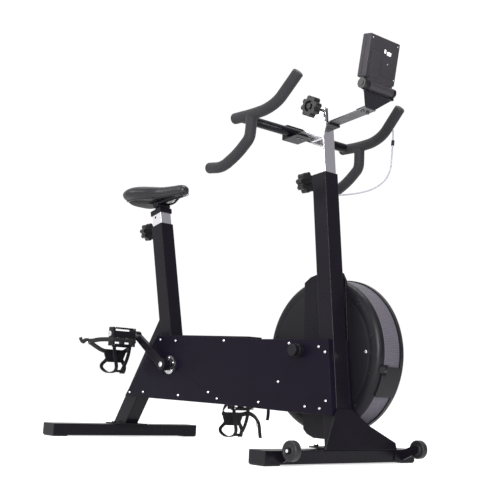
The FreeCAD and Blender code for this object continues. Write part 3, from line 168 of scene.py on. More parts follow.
MAT = {
    "black_paint": finish("powder_coat_black", (0.0052, 0.0045, 0.0068), 0.28, rvar=0.05, bumps=((1500.0, 0.08, 0.0002), (260.0, 0.04, 0.0004)), spec=0.11, dust=0.002),
    "casing": finish("casing_sheet_black", (0.0044, 0.0032, 0.0080), 0.34, rvar=0.05, bumps=((1500.0, 0.08, 0.0002), (14.0, 0.03, 0.002)), spec=0.06, dust=0.0015),
    "black_plastic": finish("moulded_black", (0.0066, 0.0062, 0.0080), 0.36, rvar=0.08, bumps=((1100.0, 0.16, 0.0002),), spec=0.14),
    "knob_plastic": finish("knob_black", (0.0080, 0.0078, 0.0085), 0.28, rvar=0.07, bumps=((700.0, 0.10, 0.0002),), spec=0.26),
    "console_plastic": finish("console_abs", (0.024, 0.022, 0.026), 0.46, rvar=0.06, bumps=((1400.0, 0.30, 0.0002),), spec=0.2),
    "button_plastic": finish("button_grey", (0.24, 0.24, 0.25), 0.45, bumps=((900.0, 0.1, 0.0002),)),
    "screen": finish("display_window", (0.012, 0.014, 0.016), 0.09, rvar=0.03, bumps=(), coat=0.6),
    "black_vinyl": finish("saddle_vinyl", (0.0100, 0.0094, 0.0110), 0.33, rvar=0.08, bumps=((620.0, 0.22, 0.0003), (150.0, 0.05, 0.0006)), kind="grain", spec=0.30),
    "black_foam": finish("closed_cell_foam", (0.0125, 0.0117, 0.0140), 0.70, rvar=0.06, bumps=((2300.0, 0.45, 0.0003), (500.0, 0.10, 0.0005)), spec=0.22, sheen=0.06, dust=0.004),
    "black_rubber": finish("soft_rubber", (0.0090, 0.0088, 0.0098), 0.60, bumps=((900.0, 0.2, 0.0002),), spec=0.18),
    "belt_rubber": finish("belt_rubber_ribbed", (0.0100, 0.0098, 0.0105), 0.7, bumps=((900.0, 0.2, 0.0002),), spec=0.2),
    "wheel_tyre": finish("wheel_polyurethane", (0.0120, 0.0112, 0.0130), 0.46, bumps=((800.0, 0.2, 0.0003),), spec=0.24, dust=0.005),
    "grey_cable": finish("cable_jacket", (0.23, 0.22, 0.26), 0.42, bumps=((900.0, 0.1, 0.0002),)),
    "chrome": finish("bright_chrome", (0.80, 0.79, 0.82), 0.15, metal=1.0, var=0.03, rvar=0.05, rscale=60.0, stretch=(1, 1, 0.06), bumps=((240.0, 0.012, 0.0002),)),
    "grey_steel": finish("strip_steel", (0.095, 0.095, 0.100), 0.40, metal=0.85, var=0.10, rvar=0.10, rscale=160.0, stretch=(0.05, 1, 1), bumps=((700.0, 0.06, 0.0002),)),
    "bright_fastener": finish("zinc_fastener", (0.66, 0.66, 0.68), 0.26, metal=1.0, var=0.08, bumps=((600.0, 0.05, 0.0002),)),
    "alloy": finish("plain_alloy", (0.50, 0.50, 0.52), 0.38, metal=1.0, var=0.08, bumps=((600.0, 0.05, 0.0002),)),
    "grey_mesh": finish("grille_grey", (0.080, 0.074, 0.092), 0.50, metal=0.0, var=0.08, bumps=((900.0, 0.1, 0.0002),), spec=0.3),
}
MAT["webbing"] = finish("strap_webbing", (0.0085, 0.0083, 0.0092), 0.58, bumps=((1600.0, 0.5, 0.0004),), stretch=(1, 1, 2.2), sheen=0.04, spec=0.18)
MAT["thread"] = finish("seam_thread", (0.030, 0.029, 0.031), 0.7, bumps=((2500.0, 0.4, 0.0002),), sheen=0.2)
MAT["pale_mark"] = finish("pale_inlay", (0.78, 0.78, 0.80), 0.35, var=0.03, bumps=((900.0, 0.05, 0.0001),))
MAT["lcd"] = finish("lcd_glass", (0.13, 0.16, 0.14), 0.16, var=0.05, rvar=0.03, bumps=())
MAT["lcd_ink"] = finish("lcd_segments", (0.02, 0.025, 0.022), 0.3, bumps=())

slot_of = {s["node"]: s["material_slot"] for s in frame["record"]["subparts"]}
slot_of["saddle_rails"] = "black_paint"
BEVEL = {
    "cover_near": 1.2, "cover_far": 1.2, "cover_strips": 0.6, "front_skirt": 1.0, "foot_plates": 0.8, "foot_caps": 1.6, "front_post": 0.5,
    "seat_tube": 0.5, "rear_leg": 0.5, "fan_bracket": 1.2, "fan_shell_near": 1.6, "fan_shell_far": 2.0, "fan_shield": 0.8, "axle_boss": 1.2,
    "bar_head_pad": 1.4, "bar_head_lug": 0.5, "reach_arm": 0.5, "bar_clamp": 1.2, "console_bracket": 0.9, "seat_clamp": 1.2, "seat_post": 0.3,
    "bar_post": 0.3, "seat_knob": 1.6, "bar_post_knob": 1.6, "reach_knob": 1.6, "shield_knob": 1.0, "console_knob": 1.0, "console_button": 0.6,
    "crank_arm_near": 1.8, "crank_arm_far": 1.8, "pedal_body_near": 1.6, "pedal_body_far": 1.6, "wheel_near": 0.8, "wheel_far": 0.8,
    "wheel_brackets": 0.8, "cover_screws": 0.25, "rear_foot_bar": 0.5, "front_foot_bar": 0.5, "cable_grommet": 0.4, "pedal_spindles": 0.6,
    "saddle_base": 1.2, "crank_axle": 0.4, "console_case": 0.5,
}
for n, o in N.items():
    mt = MAT[slot_of[n]]
    if not o.material_slots:
        o.data.materials.append(mt)
    for sl in o.material_slots:
        sl.material = mt
    w = o.modifiers.new("weld", "WELD")
    w.merge_threshold = 0.00002
    if n in BEVEL:
        b = o.modifiers.new("edge", "BEVEL")
        b.width = BEVEL[n] / 1000.0
        b.segments = 2
        b.limit_method = "ANGLE"
        b.angle_limit = math.radians(38)
        b.use_clamp_overlap = True
    wn = o.modifiers.new("normals", "WEIGHTED_NORMAL")
    wn.keep_sharp = False
    wn.weight = 60
    for p in o.data.polygons:
        p.use_smooth = True


# ------------------------------------------------------------ mesh helpers
def add_mesh(name, verts, faces, mat, body, replaces=(), smooth=True):
    me = bpy.data.meshes.new(name)
    me.from_pydata([tuple(v) for v in verts], [], faces)
    me.validate()
    o = bpy.data.objects.new(name, me)
    bpy.context.scene.collection.objects.link(o)
    me.materials.append(mat)
    if smooth:
        for p in me.polygons:
            p.use_smooth = True
    bm = bmesh.new()
    bm.from_mesh(me)
    bmesh.ops.recalc_face_normals(bm, faces=bm.faces)
    bm.to_mesh(me)
    bm.free()
    if body:
        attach(o, body)
    if replaces:
        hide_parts(*replaces)
    return o


def apply_mods(o):
    bpy.context.view_layer.update()
    dg = bpy.context.evaluated_depsgraph_get()
    e = o.evaluated_get(dg)
    me = bpy.data.meshes.new_from_object(e, preserve_all_data_layers=True, depsgraph=dg)
    old = o.data
    mats = [s.material for s in o.material_slots]
    o.modifiers.clear()
    o.data = me
    if not me.materials:
        for q in mats:
            me.materials.append(q)
    for p in me.polygons:
        p.use_smooth = True
    return o


def arc_route(pts, share=0.45, n=9):
    """Points along straight runs joined by tangent arcs."""
    vs = [Vector(p) for p in pts]
    out = [vs[0]]
    for i in range(1, len(vs) - 1):
        a, b = (vs[i - 1] - vs[i]), (vs[i + 1] - vs[i])
        la, lb = a.length, b.length
        a.normalize(); b.normalize()
        turn = math.pi - a.angle(b)
        if turn < 1e-3:
            out.append(vs[i]); continue
        t = share * min(la, lb)
        r = t / math.tan(turn / 2)
        bis = (a + b).normalized()
        c = vs[i] + bis * (r / math.cos(turn / 2))
        p1, p2 = vs[i] + a * t, vs[i] + b * t
        u1, u2 = (p1 - c), (p2 - c)
        ang = u1.angle(u2)
        ax = u1.cross(u2).normalized()
        for k in range(n + 1):
            out.append(c + Matrix.Rotation(ang * k / n, 3, ax) @ u1)
    out.append(vs[-1])
    return out


def dense(pts, step):
    out = [pts[0]]
    for a, b in zip(pts, pts[1:]):
        k = max(1, int(math.ceil((b - a).length / step)))
        for i in range(1, k + 1):
            out.append(a.lerp(b, i / k))
    return out


def tube(pts, radius, seg=28, round_end=0.0, closed=False):
    """Verts and faces of a tube along points; radius may be a function of the fraction along it."""
    n = len(pts)
    T = []
    for i in range(n):
        if closed:
            v = pts[(i + 1) % n] - pts[i - 1]
        else:
            v = pts[min(i + 1, n - 1)] - pts[max(i - 1, 0)]
        T.append(v.normalized())
    ref = Vector((0, 1, 0)) if abs(T[0].y) < 0.9 else Vector((1, 0, 0))
    nrm = (ref - T[0] * ref.dot(T[0])).normalized()
    rings = []
    for i in range(n):
        nrm = (nrm - T[i] * nrm.dot(T[i])).normalized()
        bn = T[i].cross(nrm)
        r = radius(i / (n - 1)) if callable(radius) else radius
        rings.append([pts[i] + (nrm * math.cos(2 * math.pi * k / seg) + bn * math.sin(2 * math.pi * k / seg)) * r for k in range(seg)])
    if round_end and not closed:
        def cap(p, t, ring, sgn):
            out = []
            r = (ring[0] - p).length
            for j in range(1, 5):
                a = math.pi / 2 * j / 4
                out.append([p + t * sgn * round_end * math.sin(a) + (q - p) * ((r - round_end * (1 - math.cos(a))) / r) for q in ring])
            out.append([p + t * sgn * round_end * 0.9 + (q - p) * 0.25 for q in ring])
            return out
        rings = cap(pts[0], T[0], rings[0], -1)[::-1] + rings + cap(pts[-1], T[-1], rings[-1], 1)
    verts = [v for r in rings for v in r]
    faces = []
    m_ = len(rings)
    for i in range(m_ if closed else m_ - 1):
        for k in range(seg):
            a, b = i * seg + k, i * seg + (k + 1) % seg
            c, d_ = ((i + 1) % m_) * seg + (k + 1) % seg, ((i + 1) % m_) * seg + k
            faces.append((a, b, c, d_))
    if not closed:
        faces.append(tuple(range(seg))[::-1])
        faces.append(tuple((m_ - 1) * seg + k for k in range(seg)))
    return verts, faces


def merge(parts):
    V_, F_ = [], []
    for v, f in parts:
        o = len(V_)
        V_ += list(v)
        F_ += [tuple(i + o for i in q) for q in f]
    return V_, F_


# --------------------------------------------------------------- the cable
cab_pts = [(972.5, 209.5, 957.5), (976.0, 208.0, 930.0), (977.0, 204.0, 903.0), (985.0, 193.0, 868.0), (1001.0, 172.0, 828.0), (1008.0, 143.0, 790.0),
           (998.0, 110.0, 762.0), (975.0, 82.0, 748.0), (945.0, 62.0, 743.0), (917.77, 50.0, 742.0), (914.77, 25.9, 742.0)]
cu = bpy.data.curves.new("cable_line", "CURVE")
cu.dimensions = "3D"
sp = cu.splines.new("NURBS")
sp.points.add(len(cab_pts) - 1)
for q, c in zip(sp.points, cab_pts):
    v = P(*c)
    q.co = (v.x, v.y, v.z, 1.0)
sp.order_u = 3
sp.use_endpoint_u = True
sp.resolution_u = 14
co = bpy.data.objects.new("cable_line", cu)
bpy.context.scene.collection.objects.link(co)
bpy.context.view_layer.update()
lm = bpy.data.meshes.new_from_object(co.evaluated_get(bpy.context.evaluated_depsgraph_get()))
line = [v.co.copy() for v in lm.vertices]
bpy.data.objects.remove(co)
if (line[0] - P(*cab_pts[0])).length > (line[-1] - P(*cab_pts[0])).length:
    line = line[::-1]
v_, f_ = tube(line, 0.0021, seg=14)
cable = add_mesh("sensor_cable_jacket", v_, f_, MAT["grey_cable"], None)
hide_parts("sensor_cable")
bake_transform(cable)


# ------------------------------------------------------------- foam grips
def foam(name, paths, body):
    vf = []
    for pts in paths:
        vf.append(tube(dense(arc_route(pts), 0.004), 0.0156, seg=32, round_end=0.0035))
    v, f = merge(vf)
    o = add_mesh(name, v, f, MAT["black_foam"], None)
    r = o.modifiers.new("vox", "REMESH")
    r.mode = "VOXEL"
    r.voxel_size = 0.0017
    s = o.modifiers.new("sm", "SMOOTH")
    s.iterations = 5
    s.factor = 0.5
    apply_mods(o)
    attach(o, body)
    return o


for tag, s in (("near", -1), ("far", 1)):
    yj = s * 218.0
    side = [P(765, yj, 931), P(836, yj, 930), P(892, s * 216, 934), P(934, s * 213, 950), P(998.2, s * 206.6, 1015.2)]
    drop = [P(835, yj, 931), P(836, s * 219, 893), P(834, s * 220, 864), P(790, s * 221, 828), P(727, s * 222, 797), P(669, s * 222, 803.3)]
    g = foam("foam_grip_" + tag, [side, drop], "handlebar")
    if tag == "near":
        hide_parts("foam_grips")
    # moulded plugs in the open ends of the grips
    for nm, a, b in (("tip", side[-2], side[-1]), ("drop", drop[-2], drop[-1])):
        t = (b - a).normalized()
        base = b + t * 0.0030
        pts = [base - t * 0.004, base - t * 0.0005]
        v, f = tube(pts, 0.0098, seg=24, round_end=0.0012)
        add_mesh("end_plug_%s_%s" % (nm, tag), v, f, MAT["black_plastic"], "handlebar")

# ------------------------------------------------------------------ saddle
SEC = [(2, 58, 820, 838), (20, 84, 812, 856), (60, 90, 809, 863), (110, 70, 811, 858), (160, 42, 813, 853), (215, 28, 814, 852), (255, 22, 816, 850), (272, 13, 823, 842)]


def interp(x, col):
    """Smooth value of one column of the section table."""
    xs = [r[0] for r in SEC]
    ys = [r[col] for r in SEC]
    if x <= xs[0]:
        return ys[0]
    if x >= xs[-1]:
        return ys[-1]
    for i in range(len(xs) - 1):
        if xs[i] <= x <= xs[i + 1]:
            h = xs[i + 1] - xs[i]
            t = (x - xs[i]) / h
            m0 = (ys[i + 1] - ys[i - 1]) / (xs[i + 1] - xs[i - 1]) if i > 0 else (ys[i + 1] - ys[i]) / h
            m1 = (ys[i + 2] - ys[i]) / (xs[i + 2] - xs[i]) if i + 2 < len(xs) else (ys[i + 1] - ys[i]) / h
            t2, t3 = t * t, t * t * t
            return (2 * t3 - 3 * t2 + 1) * ys[i] + (t3 - 2 * t2 + t) * h * m0 + (-2 * t3 + 3 * t2) * ys[i + 1] + (t3 - t2) * h * m1


def pad_low(x):
    return 797.5 + 11.5 * max(0.0, (x - 80) / 190.0)


def pad_top(x):
    return interp(max(26.0, min(258.0, x)), 3)


def plan_half(x):
    """Half width of the saddle's outline, rounded at both ends."""
    w = interp(max(26.0, min(252.0, x)), 1)
    if x < 30:
        w = 88.0 * max(0.0, 1 - ((30 - x) / 28.4) ** 2.2) ** 0.42
        t = max(0.0, (x - 12) / 18.0)
        w = w * (1 - t) + interp(30, 1) * t
    if x > 252:
        w = interp(252, 1) * max(0.0, 1 - ((x - 252) / 20.6) ** 2.4) ** 0.42
    return max(w, 2.0)


def half_height(x):
    end = min(1.0, (x - 1.4) / 24.0, (273.0 - x) / 20.0)
    return (pad_top(x) - pad_low(x)) / 2 * math.sqrt(max(0.03, 1 - (1 - end) ** 2.3))


def mid_height(x):
    return (pad_top(x) + pad_low(x)) / 2


EXPO = 2.3


def side_at(x, frac):
    """Half width at a height given as a fraction of the half height."""
    return plan_half(x) * (1 - abs(frac) ** EXPO) ** (1 / EXPO)


def saddle_section(x, grow=0.0, k=52):
    a = max(1.5, plan_half(x) + grow)
    hh = half_height(x) + grow
    zc = mid_height(x)
    pts = []
    for i in range(k):
        t = 2 * math.pi * i / k
        c, s_ = math.cos(t), math.sin(t)
        y = a * math.copysign(abs(c) ** (2 / EXPO), c)
        z = zc + hh * math.copysign(abs(s_) ** (2 / EXPO), s_)
        if s_ > 0:
            z -= math.exp(-(y / 10.0) ** 2) * 3.4 * s_ * min(1.0, max(0.0, (x - 25) / 40.0)) * min(1.0, max(0.0, (240 - x) / 60.0))
        pts.append(P(x, y, z))
    return pts


def saddle_mesh(grow):
    xs = [2.4, 3.4, 5, 8, 12, 17, 23] + [30 + 6 * i for i in range(37)] + [251, 256, 260, 264, 267, 269.5, 271, 271.8]
    xs = sorted(set(xs))
    rings = [saddle_section(x, grow) for x in xs]
    seg = len(rings[0])
    v = [q for r in rings for q in r]
    f = []
    for i in range(len(rings) - 1):
        for j in range(seg):
            f.append((i * seg + j, i * seg + (j + 1) % seg, (i + 1) * seg + (j + 1) % seg, (i + 1) * seg + j))
    f.append(tuple(range(seg))[::-1])
    f.append(tuple((len(rings) - 1) * seg + j for j in range(seg)))
    return v, f


v, f = saddle_mesh(-2.2)
pad = add_mesh("saddle_cover", v, f, MAT["black_vinyl"], None)
rm = pad.modifiers.new("vox", "REMESH")
rm.mode = "VOXEL"
rm.voxel_size = 0.0042
apply_mods(pad)
base_co = [q.co.copy() for q in pad.data.vertices]
cl = pad.modifiers.new("cloth", "CLOTH")
cs = cl.settings
cs.quality = 6
cs.mass = 0.3
cs.tension_stiffness = 25
cs.compression_stiffness = 25
cs.bending_stiffness = 2.0
cs.use_pressure = True
cs.uniform_pressure_force = 4.0
cs.effector_weights.gravity = 0.0
vg = pad.vertex_groups.new(name="pin")
low = P(0, 0, 806).z
for q in pad.data.vertices:
    h = (q.co.z - low) * 1000
    vg.add([q.index], 1.0 if h < 12 else max(0.0, 1.0 - (h - 12) / 8.0) * 0.6, "REPLACE")
cs.vertex_group_mass = "pin"
cl.point_cache.frame_start = 1
cl.point_cache.frame_end = 20
for fr in range(1, 21):
    bpy.context.scene.frame_set(fr)
apply_mods(pad)
bpy.context.scene.frame_set(1)
cap = 0.0030
for q, c0 in zip(pad.data.vertices, base_co):
    dv = q.co - c0
    if dv.length > cap:
        q.co = c0 + dv.normalized() * cap
sm = pad.modifiers.new("sm", "SMOOTH")
sm.iterations = 6
sm.factor = 0.5
ss = pad.modifiers.new("ss", "SUBSURF")
ss.levels = 1
ss.render_levels = 1
apply_mods(pad)
pad.vertex_groups.clear()
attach(pad, "saddle")
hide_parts("saddle_pad")


def outline(frac, grow, dz=0.0, x0=3.2, x1=271.2, n=150):
    """Loop round the saddle's side at one fraction of its height."""
    xs = [x0 + (x1 - x0) * (0.5 - 0.5 * math.cos(math.pi * i / n)) for i in range(n + 1)]
    a = [P(x, max(0.8, side_at(x, frac) + grow), mid_height(x) + frac * half_height(x) + dz) for x in xs]
    b = [P(x, -max(0.8, side_at(x, frac) + grow), mid_height(x) + frac * half_height(x) + dz) for x in xs[::-1]]
    return a + b[1:-1]


# moulded shell tucked under the pad, with a rolled lip
rows = []
lp = outline(-0.55, 0.0, x0=8, x1=266)
cx_ = [P(max(20, min(250, (q.x * 1000 - SH))), 0, 0) for q in lp]
for (zz, sc) in ((822.0, -16.0), (813.5, -19.0), (808.5, -29.0), (805.6, -41.0), (804.4, -54.0)):
    row = []
    for q, c in zip(lp, cx_):
        dv = Vector((q.x - c.x, q.y, 0))
        dl = max(1e-6, dv.length)
        row.append(Vector((c.x, 0, 0)) + dv * max(0.12, (dl + sc / 1000) / dl) + Vector((0, 0, P(0, 0, zz + pad_low(q.x * 1000 - SH) - 805.5).z)))
    rows.append(row)
n_ = len(lp)
vv = [q for r in rows for q in r]
ff = []
for i in range(len(rows) - 1):
    for j in range(n_):
        ff.append((i * n_ + j, i * n_ + (j + 1) % n_, (i + 1) * n_ + (j + 1) % n_, (i + 1) * n_ + j))
for i_ in (0, len(rows) - 1):
    for j in range(n_ // 2):
        q = [i_ * n_ + j, i_ * n_ + (j + 1) % n_, i_ * n_ + (n_ - j - 1) % n_, i_ * n_ + (n_ - j) % n_]
        q = [x for k, x in enumerate(q) if x not in q[:k]]
        if len(q) > 2:
            ff.append(tuple(q))
shell = add_mesh("saddle_shell", vv, ff, MAT["black_rubber"], "saddle", replaces=("saddle_base",))

# welt low on the side
v, f = tube(outline(-0.72, -0.5), 0.0011, seg=8, closed=True)
add_mesh("saddle_welt", v, f, MAT["black_vinyl"], "saddle")


# ------------------------------------------------- toe cages and straps
ANG = math.atan2(90.2, -147.6)
BX, BZ = 299.6, 251.8
PN = (BX + 173 * math.cos(ANG), BZ + 173 * math.sin(ANG))
PF = (BX - 173 * math.cos(ANG), BZ - 173 * math.sin(ANG))


def band(points, across, width, thick, crown=0.0):
    """Flat strap: rectangular section with softened edges swept along points; across is the width direction per point."""
    n = len(points)
    prof = []
    w, t = width / 2, thick / 2
    e = min(t * 0.8, 0.0009)
    for (u, s) in ((-w + e, t), (0, t + crown), (w - e, t), (w, t - e), (w, -t + e), (w - e, -t), (0, -t), (-w + e, -t), (-w, -t + e), (-w, t - e)):
        prof.append((u, s))
    vs = []
    for i in range(n):
        T = (points[min(i + 1, n - 1)] - points[max(i - 1, 0)]).normalized()
        A = across[i] if isinstance(across, list) else across
        A = (A - T * A.dot(T)).normalized()
        Nn = T.cross(A).normalized()
        vs.append([points[i] + A * u + Nn * s for u, s in prof])
    k = len(prof)
    v = [q for r in vs for q in r]
    f = []
    for i in range(n - 1):
        for j in range(k):
            f.append((i * k + j, i * k + (j + 1) % k, (i + 1) * k + (j + 1) % k, (i + 1) * k + j))
    f.append(tuple(range(k))[::-1])
    f.append(tuple((n - 1) * k + j for j in range(k)))
    return v, f


def smooth_line(pts, it=3):
    for _ in range(it):
        out = [pts[0]]
        for a, b in zip(pts, pts[1:]):
            out += [a.lerp(b, 0.25), a.lerp(b, 0.75)]
        out.append(pts[-1])
        pts = out
    return pts


def cage(tag, px, pz, s):
    yc = s * 133.0
    Y = Vector((0, 1, 0))

    def Q(x, y, z):
        return P(px + x, yc + y, pz + z)
    vf = []
    # flange under the pedal
    vf.append(band([Q(0, -33 + 6 * i, -39.6) for i in range(12)], Vector((1, 0, 0)), 0.0180, 0.0030))
    # plate over the toe, narrowing downwards
    lo_p = [(-44, -53), (-41, -49.5), (41, -49.5), (44, -53), (39, -68), (31, -86), (27, -90), (-27, -90), (-31, -86), (-39, -68)]
    pv = [Q(-38.0, a_, b_) for a_, b_ in lo_p] + [Q(-34.6, a_, b_) for a_, b_ in lo_p]
    pn = len(lo_p)
    vf.append((pv, [tuple(range(pn)), tuple(range(2 * pn - 1, pn - 1, -1))] + [(i, (i + 1) % pn, pn + (i + 1) % pn, pn + i) for i in range(pn)]))
    vf.append(tube([Q(-36.3, -42, -50.8), Q(-36.3, 42, -50.8)], 0.0024, seg=8, round_end=0.001))
    # two bars from the flange's corners, close together under the toe, then out and up to the plate
    for k in (-1, 1):
        pts = [Q(3.0, k * 30, -38), Q(4.0, k * 27, -60), Q(3.5, k * 20, -86), Q(-1, k * 12, -108), Q(-12, k * 12, -121), Q(-27, k * 28, -125), Q(-40, k * 44, -112), Q(-42, k * 45, -99), Q(-38, k * 34, -88), Q(-36.3, k * 27, -78)]
        vf.append(band(smooth_line(pts, 4), Y, 0.0130, 0.0034))
    vf.append(band([Q(-8, -16 + 4 * i, -117.5) for i in range(9)], Vector((0.75, 0, -0.66)), 0.0110, 0.0034))
    v, f = merge(vf)
    o = add_mesh("toe_cage_frame_" + tag, v, f, MAT["black_plastic"], None)
    r = o.modifiers.new("vox", "REMESH")
    r.mode = "VOXEL"
    r.voxel_size = 0.0011
    m_ = o.modifiers.new("sm", "SMOOTH")
    m_.iterations = 3
    apply_mods(o)
    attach(o, "pedal_" + tag)
    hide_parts("toe_cage_" + tag)
    # webbing: round the pedal, over the plate, out to the buckle, then a loose tail
    q = -1 if tag == "near" else 1
    zed = Vector((0, 0, 1))
    rnd_ = [Q(-12, q * 48.5, -18.5), Q(8, q * 47.2, -18.5), Q(15.6, q * 44, -18.5), Q(15.8, 0, -18.5), Q(15.6, -q * 44, -18.5),
            Q(8, -q * 47.0, -18.5), Q(-10, -q * 46.6, -20), Q(-26, -q * 46, -34), Q(-39.5, -q * 43, -55), Q(-40.4, 0, -58), Q(-39.8, q * 42, -56)]
    if q < 0:
        line = [Q(-57, q * 84, -28), Q(-36, q * 66, -20)] + rnd_ + [Q(-49, q * 66, -42), Q(-57, q * 83, -30)]
        bx, by, bz = -57, q * 84, -28
        tails = [([Q(-56, q * 84, -26), Q(-62, q * 92, -23), Q(-69, q * 97, -25), Q(-73, q * 99, -31), Q(-78, q * 104, -25), Q(-80, q * 107, -16)], Vector((0.5, 0, 1)))]
    else:
        line = [Q(3, q * 114, -24), Q(0, q * 84, -15)] + rnd_ + [Q(-38, q * 66, -49), Q(-40, q * 98, -60), Q(-42, q * 117, -80)]
        bx, by, bz = -42, q * 117, -82
        tails = [([Q(-42, q * 116, -78), Q(-43, q * 123, -96), Q(-45, q * 127, -112), Q(-46, q * 132, -130)], Vector((1, 0.4, 0))),
                 ([Q(2, q * 112, -22), Q(3, q * 117, -34), Q(4, q * 116, -54), Q(4, q * 113, -70)], Vector((1, 0.2, 0)))]
    L_ = smooth_line(line, 4)
    vf = [band(L_, [Vector((0.18 * math.sin(i * 0.05), 0.12 * math.cos(i * 0.04), 1)) for i in range(len(L_))], 0.0140, 0.0018)]
    for tl, ac in tails:
        L_ = smooth_line(tl, 4)
        vf.append(band(L_, [ac for i in range(len(L_))], 0.0125, 0.0016))
    v, f = merge(vf)
    add_mesh("pedal_strap_" + tag, v, f, MAT["webbing"], "pedal_" + tag)
    # cam buckle: a frame with a cross bar and a lever
    vf = []
    cx, cy, cz = bx, by, bz
    fr = [Q(cx - 4, cy - q * 4, cz - 10), Q(cx + 4, cy + q * 4, cz - 10), Q(cx + 4, cy + q * 4, cz + 10), Q(cx - 4, cy - q * 4, cz + 10)]
    fr = [Q(cx - 1, cy - q * 8, cz - 9.5), Q(cx - 5, cy + q * 5, cz - 9.5), Q(cx - 5, cy + q * 5, cz + 9.5), Q(cx - 1, cy - q * 8, cz + 9.5)]
    lp_ = dense(fr + [fr[0]], 0.003)[:-1]
    vf.append(tube(lp_, 0.0013, seg=8, closed=True))
    vf.append(tube([Q(cx - 3, cy - q * 1.5, cz - 9.5), Q(cx - 3, cy - q * 1.5, cz + 9.5)], 0.0015, seg=10))
    vf.append(band([Q(cx - 4.5, cy - q * 3, cz), Q(cx - 7.0, cy + q * 3, cz), Q(cx - 8.0, cy + q * 9, cz)], zed, 0.0140, 0.0016))
    v, f = merge(vf)
    add_mesh("strap_buckle_" + tag, v, f, MAT["bright_fastener"], "pedal_" + tag)


cage("near", PN[0], PN[1], -1)
cage("far", PF[0], PF[1], 1)

# screws on each pedal's outer rail
for tag, (px, pz), s in (("near", PN, -1), ("far", PF, 1)):
    yc = s * 133.0
    vf = []
    for yy in (-36, 36):
        for zz in (-34.5, 19.5):
            vf.append(tube([P(px + 12.6, yc + yy, pz + zz), P(px + 14.2, yc + yy, pz + zz)], 0.0022, seg=14, round_end=0.0005))
    v, f = merge(vf)
    add_mesh("pedal_screws_" + tag, v, f, MAT["bright_fastener"], "pedal_" + tag)

# ---------------------------------------------------------------- grille
FCX, FCZ = 877.0, 295.4


def ringpt(r, a, y):
    return P(FCX + r * math.cos(a), y, FCZ + r * math.sin(a))


NA, NY = 300, 14
y0, y1 = 66.3, 126.7
vv, ff = [], []
HOLE = 0.46            # hole size as a share of the pitch
for i in range(NA):
    a0, a1 = 2 * math.pi * i / NA, 2 * math.pi * (i + 1) / NA
    for j in range(NY):
        ya, yb = y0 + (y1 - y0) * j / NY, y0 + (y1 - y0) * (j + 1) / NY
        k0 = len(vv)
        vv += [ringpt(211.6, a0, ya), ringpt(211.6, a1, ya), ringpt(211.6, a1, yb), ringpt(211.6, a0, yb)]
        if 0 < j < NY - 1:
            am, ym = (a0 + a1) / 2, (ya + yb) / 2
            ha, hy = (a1 - a0) / 2 * HOLE, (yb - ya) / 2 * HOLE
            vv += [ringpt(211.6, am - ha, ym - hy), ringpt(211.6, am + ha, ym - hy), ringpt(211.6, am + ha, ym + hy), ringpt(211.6, am - ha, ym + hy)]
            for q in range(4):
                r = (q + 1) % 4
                ff.append((k0 + q, k0 + r, k0 + 4 + r, k0 + 4 + q))
        else:
            ff.append((k0, k0 + 1, k0 + 2, k0 + 3))
me = bpy.data.meshes.new("fan_grille_mesh")
me.from_pydata([tuple(q) for q in vv], [], ff)
bm = bmesh.new()
bm.from_mesh(me)
bmesh.ops.remove_doubles(bm, verts=bm.verts, dist=0.00002)
bmesh.ops.recalc_face_normals(bm, faces=bm.faces)
bm.to_mesh(me)
bm.free()
me.materials.append(MAT["grey_mesh"])
grl = bpy.data.objects.new("fan_grille_mesh", me)
bpy.context.scene.collection.objects.link(grl)
so = grl.modifiers.new("so", "SOLIDIFY")
so.thickness = 0.0012
so.offset = -1
apply_mods(grl)
for p in grl.data.polygons:
    p.use_smooth = False
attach(grl, "frame")
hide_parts("fan_grille")

# small screws round the drum's near face
vf = []
for k in range(12):
    a = math.radians(15 + 30 * k)
    p0, p1 = ringpt(190.0, a, 43.3), ringpt(190.0, a, 41.3)
    vf.append(tube([p0, p1], 0.0034, seg=16, round_end=0.0008))
v, f = merge(vf)
add_mesh("drum_screws", v, f, MAT["knob_plastic"], "frame")
vf = [tube([P(1046, 42.6, 303), P(1046, 39.2, 303)], 0.0048, seg=18, round_end=0.0012)]
v, f = merge(vf)
add_mesh("drum_bolt", v, f, MAT["bright_fastener"], "frame")

# --------------------------------------------------------------- console
CX, CZ, TL = 1098.0, 1002.0, math.radians(9.0)
U0, U1, T0, T1 = 20.0, 138.0, -31.0, -1.0


def CQ(upd, back, y):
    return P(CX + upd * math.sin(TL) + back * math.cos(TL), y, CZ + upd * math.cos(TL) - back * math.sin(TL))


def plaque(name, u, y, w, h, r, t_in, t_out, mat, body, seg=6):
    """Rounded plate lying on the console's face."""
    pts = []
    for cxs, cys, a0 in ((w / 2 - r, h / 2 - r, 0), (-w / 2 + r, h / 2 - r, 90), (-w / 2 + r, -h / 2 + r, 180), (w / 2 - r, -h / 2 + r, 270)):
        for k in range(seg + 1):
            a = math.radians(a0 + 90 * k / seg)
            pts.append((cxs + r * math.cos(a), cys + r * math.sin(a)))
    n = len(pts)
    sgn = 1 if t_out > t_in else -1
    layers = [(t_in, 0.0), (t_out - sgn * min(0.3, abs(t_out - t_in) * 0.5), 0.0), (t_out, 0.3)]
    vs = []
    for t, ins in layers:
        vs += [CQ(u + b * (1 - 2 * ins / h), t, y + a * (1 - 2 * ins / w)) for a, b in pts]
    fs = []
    for L_ in range(2):
        for i in range(n):
            fs.append((L_ * n + i, L_ * n + (i + 1) % n, (L_ + 1) * n + (i + 1) % n, (L_ + 1) * n + i))
    fs.append(tuple(range(n)))
    fs.append(tuple(2 * n + i for i in range(n))[::-1])
    return add_mesh(name, vs, fs, mat, body, smooth=False)


